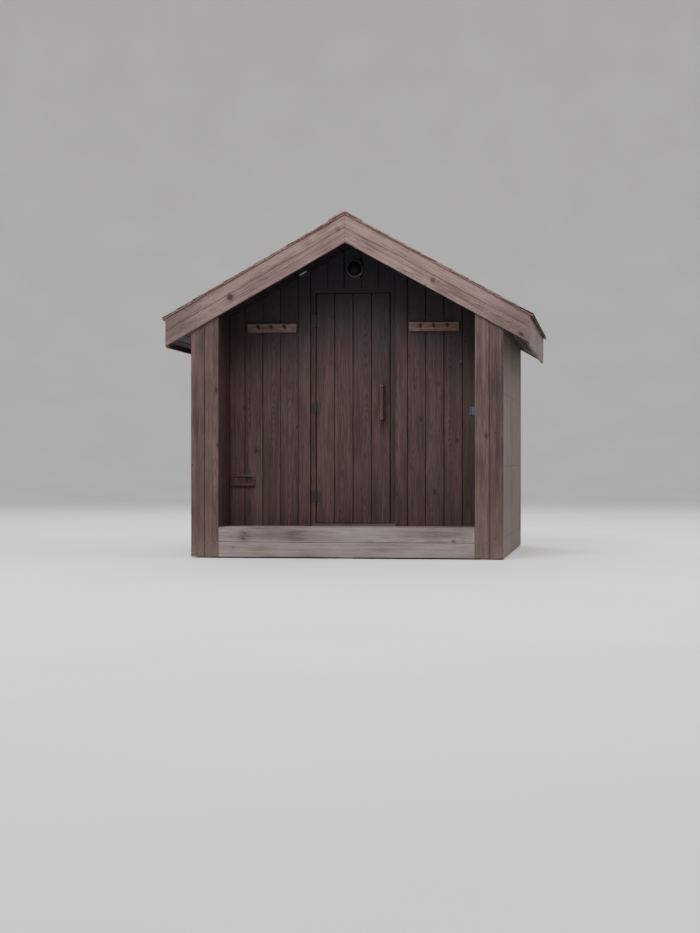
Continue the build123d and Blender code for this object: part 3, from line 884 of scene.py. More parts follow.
def setting(centre: Sequence[float], along: Vector, facing: Vector) -> Matrix:
    """Place of a board.

    Args:
        centre: Its middle.
        along: Direction of its length.
        facing: Direction that its face looks in.

    Returns:
        The matrix from the board's own axes to the cabin's frame.
    """
    across = facing.cross(along)
    turn = Matrix((along, across, facing)).transposed().to_4x4()
    return Matrix.Translation(Vector(centre)) @ turn


def box(*size: float) -> Shape:
    """Makes a box about its own middle.

    Args:
        *size: Its size along each of its axes.

    Returns:
        The shape.
    """
    solo = bmesh.new()
    bmesh.ops.create_cube(solo, size=1.0, matrix=Matrix.Diagonal((*size, 1.0)))
    return solo


def edges_along(solo: Shape, axis: int) -> list[Edge]:
    """The edges of a box that run along one of its axes."""
    return [edge for edge in solo.edges if abs(edge.verts[0].co[axis] - edge.verts[1].co[axis]) > 1e-6]


def bevel(solo: Shape, edges: list[Edge], offset: float, segments: int, clamp: bool = False) -> None:
    """Bevels edges of a shape.

    Args:
        solo: The shape.
        edges: The edges.
        offset: Width of the bevel.
        segments: Facets across it.
        clamp: Whether bevels are kept from crossing.
    """
    bmesh.ops.bevel(
        solo, geom=edges, offset=offset, segments=segments, affect="EDGES", profile=0.5, material=-1,
        clamp_overlap=clamp)


class Bench:
    """A piece in the making, whose points carry the grain and the tone of their board."""

    grain_span = 40.0  # length of the trunk that boards are sawn from
    joint = 0.0012  # open joint between two boards in a row
    slip = 0.0005  # how far a board in a row may lie behind the others
    narrowest = 0.004  # width under which no board is added to a row
    nail_head = ((0.0, 0.0009), (0.00294, 0.0008), (0.0042, 0.0002), (0.0042, -0.002), (0.0, -0.002))

    def __init__(self, name: str, seed: int) -> None:
        """Clears the bench.

        Args:
            name: Name of the piece.
            seed: Start of its random numbers.
        """
        self.name = name
        self.whole = bmesh.new()
        self.chance = random.Random(seed)
        self._layers(self.whole)

    @staticmethod
    def _layers(mesh: Shape) -> tuple[object, object]:
        """Finds or adds the layers that hold the grain and the tone.

        Args:
            mesh: The mesh.

        Returns:
            Both layers.
        """
        vectors, numbers = mesh.verts.layers.float_vector, mesh.verts.layers.float
        return (
            vectors.get("grain") or vectors.new("grain"),
            numbers.get("tone") or numbers.new("tone"),
        )

    def lay(self, solo: Shape, place: Matrix, cuts: Iterable[Cut] = (), tone: float | None = None) -> None:
        """Marks a shape with its grain, puts it in place, trims it and adds it to the piece.

        Args:
            solo: The shape about its own middle, its grain along its X axis.
            place: Its place.
            cuts: Planes that trim it.
            tone: Its tone from -1 to 1, or None for a random one.
        """
        grain, shade = self._layers(solo)
        start = self.chance.uniform(0.0, self.grain_span)
        value = self.chance.uniform(-1.0, 1.0) if tone is None else tone
        for vert in solo.verts:
            vert[grain] = (vert.co.x + start, vert.co.y, vert.co.z)
            vert[shade] = value
        bmesh.ops.transform(solo, matrix=place, verts=solo.verts[:])
        for cut in cuts:
            geometry = solo.verts[:] + solo.edges[:] + solo.faces[:]
            made = bmesh.ops.bisect_plane(
                solo, geom=geometry, plane_co=cut.point, plane_no=cut.outwards, clear_outer=True)
            edges = [item for item in made["geom_cut"] if isinstance(item, Edge)]
            if edges:
                bmesh.ops.holes_fill(solo, edges=edges, sides=0)
        bmesh.ops.recalc_face_normals(solo, faces=solo.faces[:])
        if solo.calc_volume(signed=True) < 0:
            bmesh.ops.reverse_faces(solo, faces=solo.faces[:])
        part = bpy.data.meshes.new("part")
        solo.to_mesh(part)
        self.whole.from_mesh(part)
        bpy.data.meshes.remove(part)
        solo.free()

    def board(
        self, size: Triple, place: Matrix, joint: float = 0.0, ease: float = 0.0007, both_faces: bool = False,
        cuts: Iterable[Cut] = (), tone: float | None = None,
    ) -> None:
        """Adds one sawn board.

        Args:
            size: Its length, width and thickness.
            place: Its place.
            joint: Chamfer on the long edges of its face.
            ease: Rounding of all its edges.
            both_faces: Whether its back has the chamfers too.
            cuts: Planes that trim it.
            tone: Its tone from -1 to 1, or None for a random one.
        """
        solo = box(*size)
        if joint:
            edges = [edge for edge in edges_along(solo, 0) if both_faces or edge.verts[0].co.z > 0]
            bevel(solo, edges, joint, segments=1)
        if ease:
            bevel(solo, solo.edges[:], ease, segments=2, clamp=True)
        self.lay(solo, place, cuts, tone)

    def soft_box(self, size: Triple, radius: float, place: Matrix, segments: int = 4) -> None:
        """Adds a box with rounded edges.

        Args:
            size: Its length, width and depth.
            radius: Rounding of its edges.
            place: Its place.
            segments: Facets across an edge.
        """
        solo = box(*size)
        bevel(solo, solo.edges[:], radius, segments)
        self.lay(solo, place)

    def row(
        self, span: Pair, pitch: float, size: Pair, centre: Vector, run: Vector, along: Vector,
        facing: Vector, tones: Sequence[float] = (), **options: object,
    ) -> None:
        """Adds boards side by side; the last one is as wide as what is left.

        Args:
            span: Start and end of the row along its run, from the centre.
            pitch: Distance from one board to the next.
            size: Length and thickness of a board.
            centre: Middle of the boards' length and thickness, where the run is zero.
            run: Direction from one board to the next.
            along: Direction of the boards' length.
            facing: Direction that their faces look in.
            tones: Tone of each board; the boards past its end have a random one.
            **options: More for each board.
        """
        start, end = span
        left = iter(tones)
        while start < end - self.narrowest:
            stop = min(start + pitch, end)
            slip = facing * self.chance.uniform(-self.slip, 0.0)
            place = setting(centre + run * ((start + stop) / 2) + slip, along, facing)
            board = (size[0], stop - start - self.joint, size[1])
            self.board(board, place, tone=next(left, None), **options)
            start = stop

    def turned(
        self, outline: Sequence[Pair], place: Matrix, steps: int = 40, tone: float | None = None,
    ) -> None:
        """Adds a turned shape.

        Args:
            outline: Radius and height of its points, from one end of its axis to the other.
            place: Its place; its axis is its own X axis.
            steps: Facets round it.
            tone: Its tone from -1 to 1, or None for a random one.
        """
        solo = bmesh.new()
        verts = [solo.verts.new((height, radius, 0.0)) for radius, height in outline]
        edges = [solo.edges.new(pair) for pair in zip(verts, verts[1:])]
        bmesh.ops.spin(
            solo, geom=verts + edges, cent=(0, 0, 0), axis=(1, 0, 0), angle=math.tau, steps=steps,
            use_merge=True)
        bmesh.ops.remove_doubles(solo, verts=solo.verts[:], dist=1e-6)
        self.lay(solo, place, tone=tone)

    def _head(self, point: Vector, facing: Vector, outline: Sequence[Pair], steps: int) -> None:
        """Adds a turned head whose axis is square to the face that it is in."""
        along = UP if abs(facing.z) < 0.5 else BACK
        self.turned(outline, setting(point, facing, along), steps)

    def nail(self, point: Vector, facing: Vector) -> None:
        """Adds the low head of a nail."""
        self._head(point, facing, self.nail_head, 10)

    def screw(self, point: Vector, facing: Vector, r: float = 0.0045) -> None:
        """Adds a countersunk screw head with a hollow in its middle.

        Args:
            point: Where its axis meets the face that it is in.
            facing: Direction that this face looks in.
            r: Its radius.
        """
        outline = (
            (0.0, -0.0012), (r * 0.35, -0.0011), (r * 0.42, 0.0004), (r * 0.85, 0.0003), (r, -0.0002),
            (r, -0.003), (0.0, -0.003))
        self._head(point, facing, outline, 14)

    def piece(
        self, finish: Finish, *nodes: str, body: Body = Body.CABIN, smooth: float | None = None,
    ) -> None:
        """Takes the finished piece off the bench.

        Args:
            finish: What it is dressed with.
            *nodes: The part's nodes that it stands for.
            body: The body that it rides on.
            smooth: Largest angle in degrees that is shaded smooth, or None for flat faces.
        """
        mesh = bpy.data.meshes.new(self.name)
        self.whole.to_mesh(mesh)
        self.whole.free()
        if smooth is not None:
            mesh.shade_smooth()
            mesh.set_sharp_from_angle(angle=math.radians(smooth))
        mesh.materials.append(material_of(finish))
        made = bpy.data.objects.new(self.name, mesh)
        bpy.context.scene.collection.objects.link(made)
        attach(made, body.value)
        if nodes:
            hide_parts(*nodes)
        LOG.info("%s: %d faces", self.name, len(mesh.polygons))


class Assembly(Protocol):
    """A sub-assembly of the cabin."""

    def build(self) -> None:
        """Builds its pieces and dresses them."""


@dataclass
class OuterWalls:
    """Upright boards on the sides and the back, with their nails."""

    pitch: float = 0.145  # distance from one board to the next
    joint: float = 0.004  # chamfer beside each joint
    nail_rows: tuple[float, ...] = (0.17, 0.72, 1.27, 1.74)
    nail_inset: float = 0.028  # distance of a nail from the edge of its board
    jitter: float = 0.004  # how far a nail is off its place

    def build(self) -> None:
        """Builds the side and rear boards."""
        s = SIZES
        foot, side_top = s.skirt, s.height(s.wall_outside, s.ceiling_top) + 2 * SPARE
        side_span, rear_span = (s.front + s.cladding, s.rear - s.cladding), (-s.outer, s.outer)
        nails = Bench("wall_nails", 12)
        sides = Bench("side_boards", 11)
        for facing in (RIGHT, LEFT):
            self._wall(sides, side_span, (foot, side_top), facing * s.outer, BACK, facing)
            self._nails(nails, side_span, facing * s.outer, BACK, facing)
        sides.piece(SIDE_STAIN, "side_cladding")
        rear = Bench("rear_boards", 13)
        rear_top = s.height(0.0, s.ceiling_top) + SPARE
        self._wall(rear, rear_span, (foot, rear_top), BACK * s.rear, RIGHT, BACK)
        rear.piece(SIDE_STAIN, "rear_cladding")
        self._nails(nails, rear_span, BACK * s.rear, RIGHT, BACK)
        nails.piece(NAIL_STEEL, smooth=50.0)

    def _wall(
        self, bench: Bench, span: Pair, height: Pair, face: Vector, run: Vector, facing: Vector,
    ) -> None:
        """Adds the boards of one wall.

        Args:
            bench: The piece in the making.
            span: Start and end of the wall along its run.
            height: Its foot and its top, before the roof trims it.
            face: Where the run is zero on the boards' outer face, on the ground.
            run: Direction from one board to the next.
            facing: Direction that the boards look in.
        """
        s = SIZES
        centre = face - facing * (s.cladding / 2) + UP * (sum(height) / 2)
        bench.row(
            span, self.pitch, (height[1] - height[0], s.cladding), centre, run, UP, facing, joint=self.joint,
            cuts=s.under_roof(s.ceiling_top))

    def _nails(self, bench: Bench, span: Pair, face: Vector, run: Vector, facing: Vector) -> None:
        """Adds two nails a board in each row.

        Args:
            bench: The piece in the making.
            span: Start and end of the wall along its run.
            face: Where the run is zero on the boards' outer face, on the ground.
            run: Direction from one board to the next.
            facing: Direction that the boards look in.
        """
        start, end = span
        while start < end - 2 * self.nail_inset:
            stop = min(start + self.pitch, end)
            for height in self.nail_rows:
                for place in (start + self.nail_inset, stop - self.nail_inset):
                    jitter = bench.chance.uniform(-self.jitter, self.jitter)
                    bench.nail(face + run * (place + jitter) + UP * (height + jitter), facing)
            start = stop


@dataclass
class Porch:
    """Boards, deck and beams round the open porch."""

    pitch: float = 0.145  # distance from one wall board to the next
    joint: float = 0.004  # chamfer beside each joint
    # tones of the boards right and left of the door, from the door outwards; the far right board is darkened
    # as painted shade and the outer left ones are lightened as painted light
    wall_tones_with_painted_light: tuple[tuple[float, ...], ...] = ((0.1, 0.35, 0.15, -0.9), (0.0, -0.1, 0.45, 0.8))
    head_boards: int = 5
    side_boards: int = 3  # number of boards on a side face
    # tones of the side faces' boards, raised past the random range of -1 to 1 as painted light
    side_painted_light_tones: Triple = (1.7, 1.5, 1.8)
    wing_joint: float = 0.002  # open joint between the two boards of a wing
    nail_rows: tuple[float, ...] = (0.12, 0.55, 0.98, 1.41, 1.8)
    nail_inset: float = 0.025  # distance of a nail from the edge of its board
    jitter: float = 0.005  # how far a nail is off its place
    deck_boards: int = 4
    deck_gap: float = 0.006
    gap: float = 0.002  # open joint between the beams, and what beams and deck are shorter than their place
    # distances of the deck screws from the middle
    screw_rows: tuple[float, ...] = (-0.93, -0.47, 0.0, 0.47, 0.93)
    screw_shift: float = 0.027  # distance of the two screws of a row from the middle of their board
    edge: float = 0.003  # chamfer of wings and beams

    def build(self) -> None:
        """Builds the porch."""
        self._wall()
        self._sides()
        self._wings()
        self._beams()
        self._deck()

    def _wall(self) -> None:
        """Boards on the porch wall, set out from the casings."""
        s = SIZES
        wall = Bench("porch_boards", 21)
        casing = s.casing_inner + s.casing_width
        middle = Vector((0.0, s.porch_face + s.cladding / 2, 0.0))
        trim = s.under_roof(s.ceiling_low)
        low, high = s.floor, s.height(casing, s.ceiling_low) + 2 * SPARE
        for run, tones in zip((RIGHT, LEFT), self.wall_tones_with_painted_light, strict=True):
            wall.row(
                (casing, s.porch_side), self.pitch, (high - low, s.cladding),
                middle + UP * ((low + high) / 2), run, UP, FRONT, tones=tones, joint=self.joint, cuts=trim)
        low, high = s.frame_top - s.casing_lap, s.height(0.0, s.ceiling_low)
        wall.row(
            (-s.casing_inner, s.casing_inner), 2 * s.casing_inner / self.head_boards,
            (high - low, s.cladding), middle + UP * ((low + high) / 2), RIGHT, UP, FRONT, joint=self.joint,
            cuts=trim)
        wall.piece(SHADED_STAIN, "porch_cladding")

    def _sides(self) -> None:
        """Boards on both side faces of the porch."""
        s = SIZES
        lining = Bench("porch_side_boards", 22)
        low, high = s.floor, s.height(s.porch_side, s.ceiling_top) + SPARE
        start, end = s.front + s.cladding, s.porch_wall
        for side, facing in ((1, LEFT), (-1, RIGHT)):
            centre = Vector((side * (s.porch_side + s.lining / 2), 0.0, (low + high) / 2))
            lining.row(
                (start, end), (end - start) / self.side_boards, (high - low, s.lining), centre, BACK, UP,
                facing, tones=self.side_painted_light_tones, joint=self.joint, cuts=s.under_roof(s.ceiling_top))
        lining.piece(SHADED_STAIN, "porch_side_lining")

    def _wings(self) -> None:
        """Two upright boards on the end of each side wall, with their nails."""
        s = SIZES
        wings = Bench("wing_front_boards", 23)
        nails = Bench("wing_nails", 24)
        low, high = s.skirt, s.height(s.porch_side, s.ceiling_top) + SPARE
        y = s.front + s.cladding / 2
        middle, half_joint = (s.porch_side + s.outer) / 2, self.wing_joint / 2
        for side in (1, -1):
            for inner, outer in ((s.porch_side, middle - half_joint), (middle + half_joint, s.outer)):
                place = setting((side * (inner + outer) / 2, y, (low + high) / 2), UP, FRONT)
                wings.board(
                    (high - low, outer - inner, s.cladding), place, joint=self.edge, ease=0.0012,
                    cuts=s.under_roof(s.ceiling_top))
                for height in self.nail_rows:
                    for x in (inner + self.nail_inset, outer - self.nail_inset):
                        jitter = nails.chance.uniform(-self.jitter, self.jitter)
                        nails.nail(Vector((side * x, s.front, height + jitter)), FRONT)
        wings.piece(STAIN, "wing_boards")
        nails.piece(NAIL_STEEL, smooth=50.0)

    def _beams(self) -> None:
        """Two level boards across the front of the floor."""
        s = SIZES
        beams = Bench("front_beam_boards", 25)
        height = (s.floor - s.skirt - self.gap) / 2
        for low in (s.skirt, s.floor - height):
            place = setting((0.0, s.front + s.cladding / 2, low + height / 2), RIGHT, FRONT)
            beams.board(
                (2 * s.porch_side - self.gap, height, s.cladding), place, joint=self.edge, ease=0.0015)
        beams.piece(BEAM_STAIN, "front_beams")

    def _deck(self) -> None:
        """Deck boards with their screws."""
        s = SIZES
        deck = Bench("porch_deck", 26)
        screws = Bench("deck_screws", 27)
        start = s.front + s.cladding
        width = (s.porch_wall - start - (self.deck_boards - 1) * self.deck_gap) / self.deck_boards
        for index in range(self.deck_boards):
            y = start + index * (width + self.deck_gap) + width / 2
            place = setting((0.0, y, s.floor - s.floor_board / 2), RIGHT, UP)
            deck.board((2 * s.wall_inside - self.gap, width, s.floor_board), place, ease=0.003)
            for x in self.screw_rows:
                for shift in (-self.screw_shift, self.screw_shift):
                    screws.screw(Vector((x, y + shift, s.floor)), UP)
        deck.piece(DECK_WOOD, "porch_floor")
        screws.piece(DARK_STEEL, smooth=50.0)


@dataclass
class Room:
    """The room's floor boards, lined walls and ceiling boards."""

    board: float = 0.096
    thickness: float = 0.014  # thickness of the lining
    joint: float = 0.003  # chamfer beside each joint
    floor_pitch: float = 0.145
    floor_joint: float = 0.0015  # chamfer beside their joints
    gap: float = 0.001  # open joint between ceiling boards, and where they meet below the ridge

    def build(self) -> None:
        """Builds the room, and the porch's ceiling with it."""
        s = SIZES
        floor = Bench("room_floor", 31)
        floor.row(
            (-s.wall_inside, s.wall_inside), self.floor_pitch, (s.room_back - s.room_front, s.floor_board),
            Vector((0.0, (s.room_front + s.room_back) / 2, s.floor - s.floor_board / 2)), RIGHT, BACK, UP,
            joint=self.floor_joint)
        floor.piece(LINING_WOOD, "cabin_floor")
        room = self._ceiling(Bench("room_ceiling_boards", 32), s.wall_inside, s.room_front, s.room_back)
        room.piece(LINING_WOOD, "room_ceiling")
        porch = self._ceiling(Bench("porch_ceiling_boards", 33), s.porch_side, s.front, s.porch_wall)
        porch.piece(SHADED_STAIN, "porch_ceiling")
        self._walls()

    def _ceiling(self, bench: Bench, reach: float, low: float, high: float) -> Bench:
        """Adds ceiling boards that run from front to back on both slopes.

        Args:
            bench: The piece in the making.
            reach: How far they go to each side.
            low: Where they start at the front.
            high: Where they end at the back.

        Returns:
            The bench.
        """
        s = SIZES
        end = reach / math.cos(s.pitch) + 2 * SPARE
        for side in (1, -1):
            cuts = (Cut.plumb(side * self.gap / 2, -side), Cut.plumb(side * reach, side))
            start = -2 * SPARE
            while start < end:
                centre = s.on_slope(side, start + self.board / 2, (low + high) / 2, s.ceiling_middle)
                bench.board(
                    (high - low, self.board - self.gap, s.ceiling_board),
                    setting(centre, BACK, -s.outwards(side)), joint=self.joint, cuts=cuts)
                start += self.board
        return bench

    def _walls(self) -> None:
        """Each framed wall with upright lining boards on its room side."""
        s = SIZES
        thin = s.stud_wall - self.thickness
        cuts = s.under_roof(s.ceiling_top)
        foot, eave = s.floor - s.floor_board, s.height(s.wall_inside, s.ceiling_top) + SPARE
        ridge = s.height(0.0, s.ceiling_top)
        across, inside, door = (s.front + s.cladding, s.rear - s.cladding), s.wall_inside, s.frame_side
        left, right, over, lintel = (-inside, -door), (door, inside), (-door, door), s.frame_top
        behind, ahead = BACK * s.room_back, BACK * s.room_front
        walls = (
            ("lined_wall_right", "right_side_wall", 34, across, foot, eave, RIGHT * inside, BACK, LEFT),
            ("lined_wall_left", "left_side_wall", 35, across, foot, eave, LEFT * inside, BACK, RIGHT),
            ("lined_rear_wall", "rear_wall", 36, (-inside, inside), foot, ridge, behind, RIGHT, FRONT),
            ("lined_porch_wall_left", "porch_wall_left", 37, left, foot, ridge, ahead, RIGHT, BACK),
            ("lined_porch_wall_right", "porch_wall_right", 38, right, foot, ridge, ahead, RIGHT, BACK),
            ("lined_porch_wall_head", "porch_wall_head", 39, over, lintel, ridge, ahead, RIGHT, BACK),
        )
        for name, node, seed, span, low, high, face, run, facing in walls:
            bench = Bench(name, seed)
            middle = face + UP * ((low + high) / 2)
            back = middle + run * (sum(span) / 2) - facing * (self.thickness + thin / 2)
            bench.board((high - low, span[1] - span[0], thin), setting(back, UP, facing), cuts=cuts)
            bench.row(
                span, self.board, (high - low, self.thickness), middle - facing * (self.thickness / 2), run,
                UP, facing, joint=self.joint, cuts=cuts)
            bench.piece(LINING_WOOD, node)


@dataclass
class Doorway:
    """Casings, posts, head and threshold of the door frame."""

    casing: float = 0.028  # thickness of a casing
    casing_tone: float = 0.55
    post: float = 0.045  # face width of a post
    stop: float = 0.012
    stop_bed: float = 0.002  # how far the stop is let into its post
    stop_face: float = -0.833  # where the stop starts
    threshold: float = 0.02  # rise of the threshold above the floor
    ease: float = 0.0012

    def build(self) -> None:
        """Builds the frame."""
        s = SIZES
        casings = Bench("casing_boards", 41)
        high = s.height(s.casing_inner, s.ceiling_low) + SPARE
        x, y = s.casing_inner + s.casing_width / 2, s.porch_wall - self.casing / 2
        for side in (1, -1):
            casings.board(
                (high - s.floor, s.casing_width, self.casing),
                setting((side * x, y, (s.floor + high) / 2), UP, FRONT), joint=0.002, ease=0.0015,
                cuts=s.under_roof(s.ceiling_low), tone=self.casing_tone)
        casings.piece(SHADED_STAIN, "door_casings")
        depth, stop_depth = s.room_front - s.porch_wall, s.room_front - self.stop_face
        y, stop_y = (s.porch_wall + s.room_front) / 2, (self.stop_face + s.room_front) / 2
        foot, under = s.floor + self.threshold, s.frame_top - self.post
        stop = self.stop + self.stop_bed
        edge = s.frame_side - self.post
        posts = Bench("door_posts", 42)
        for side in (1, -1):
            place = setting((side * (edge + self.post / 2), y, (foot + under) / 2), UP, FRONT)
            posts.board((under - foot, self.post, depth), place, ease=self.ease)
            x = edge - (self.stop - self.stop_bed) / 2
            place = setting((side * x, stop_y, (foot + under) / 2), UP, FRONT)
            posts.board((under - foot, stop, stop_depth), place, ease=self.ease)
        posts.piece(SHADED_STAIN, "door_jambs")
        head = Bench("door_frame_head", 43)
        place = setting((0.0, y, under + self.post / 2), RIGHT, FRONT)
        head.board((2 * s.frame_side, self.post, depth), place, ease=self.ease)
        place = setting((0.0, stop_y, under - (self.stop - self.stop_bed) / 2), RIGHT, FRONT)
        head.board((2 * (edge - self.stop), stop, stop_depth), place, ease=self.ease)
        head.piece(SHADED_STAIN, "door_head")
        sill = Bench("door_sill", 44)
        low = s.floor - s.floor_board
        place = setting((0.0, y, (low + foot) / 2), RIGHT, UP)
        sill.board((2 * s.frame_side, depth, foot - low), place, ease=0.003)
        sill.piece(SILL_WOOD, "door_threshold")


@dataclass
class Gables:
    """Two bargeboards on each slope at the front and the back, with their nails."""

    joint: float = 0.003  # chamfer beside the joint of the two boards
    gap: float = 0.0006  # open joint between them
    mitre: float = 0.001  # open joint at the ridge
    spare: float = 0.15  # extra length at both ends, which the cuts take off again
    # tones of the lower and the upper board, on the right and on the left
    tones: tuple[Pair, ...] = ((0.1, -0.3), (1.0, 0.6))
    nail_runs: tuple[float, ...] = (0.16, 0.46, 0.78, 1.1, 1.42)
    nail_insets: Pair = (0.022, 0.02)  # distance of a nail from the edge of a lower and of an upper board
    jitter: float = 0.006  # how far a nail is off its place

    def build(self) -> None:
        """Builds the four pairs."""
        s = SIZES
        layers = (("lower", 0.0, s.lower_board), ("upper", s.lower_board, s.roof_top))
        insets = zip(layers, self.nail_insets, strict=True)
        offsets = [place for (_, low, high), inset in insets for place in (low + inset, high - inset)]
        nails = Bench("gable_nails", 59)
        for end, facing, seed in (("front", FRONT, 51), ("rear", BACK, 53)):
            for number, (name, low, high) in enumerate(layers):
                bench = Bench(f"{end}_{name}_gable_boards", seed + number)
                for side, tone in zip((1, -1), self.tones[number], strict=True):
                    self._board(bench, side, facing, (low, high), tone)
                bench.piece(GABLE_STAIN, f"{end}_{name}_bargeboards")
            y = facing.y * (s.rear + s.gable_board)
            for side in (1, -1):
                for run in self.nail_runs:
                    for offset in offsets:
                        jitter = nails.chance.uniform(-self.jitter, self.jitter)
                        nails.nail(s.on_slope(side, run + jitter, y, offset), facing)
        nails.piece(NAIL_STEEL, smooth=50.0)

    def _board(self, bench: Bench, side: int, facing: Vector, edges: Pair, tone: float) -> None:
        """Adds one board, mitred at the ridge and cut plumb at the eave.

        Args:
            bench: The piece in the making.
            side: 1 for the right slope and -1 for the left one.
            facing: Direction that the board looks in.
            edges: Its lower and upper edge, square to the slope.
            tone: Its tone.
        """
        s = SIZES
        low, high = edges
        end = s.eave / math.cos(s.pitch)
        centre = s.on_slope(side, end / 2, facing.y * (s.rear + s.gable_board / 2), (low + high) / 2)
        bench.board(
            (end + 2 * self.spare, high - low - self.gap, s.gable_board),
            setting(centre, s.down(side), facing), joint=self.joint, ease=0.0012, tone=tone,
            cuts=(Cut.plumb(side * self.mitre / 2, -side), Cut.plumb(side * s.eave, side)))


@dataclass
class Eaves:
    """Fascia and soffit boards below both eaves."""

    drop: float = 0.012  # how far the fascia hangs below the bargeboards' lower edge
    soffits: int = 3
    soffit_pitch: float = 0.084
    gap: float = 0.001  # open joint between them

    def build(self) -> None:
        """Builds both eaves."""
        s = SIZES
        fascias = Bench("fascia_boards", 61)
        soffits = Bench("soffit_boards", 62)
        length = s.rear - s.front
        inner = s.eave - s.fascia
        foot, top = s.height(s.eave, 0.0) - self.drop, s.height(inner, s.roof_top) + SPARE
        start = s.outer / math.cos(s.pitch) - 2 * SPARE
        for side in (1, -1):
            place = setting((side * (s.eave - s.fascia / 2), 0.0, (foot + top) / 2), BACK, RIGHT * side)
            fascias.board((length, top - foot, s.fascia), place, ease=0.0015, cuts=s.under_roof(s.roof_top))
            cuts = (Cut.plumb(side * s.outer, -side), Cut.plumb(side * inner, side))
            for index in range(self.soffits):
                run = start + (index + 0.5) * self.soffit_pitch
                place = setting(s.on_slope(side, run, 0.0, s.ceiling_middle), BACK, -s.outwards(side))
                soffits.board(
                    (length, self.soffit_pitch - self.gap, s.ceiling_board), place, joint=0.003, cuts=cuts)
        fascias.piece(GABLE_STAIN, "eave_fascias")
        soffits.piece(SHADED_STAIN, "eave_soffits")


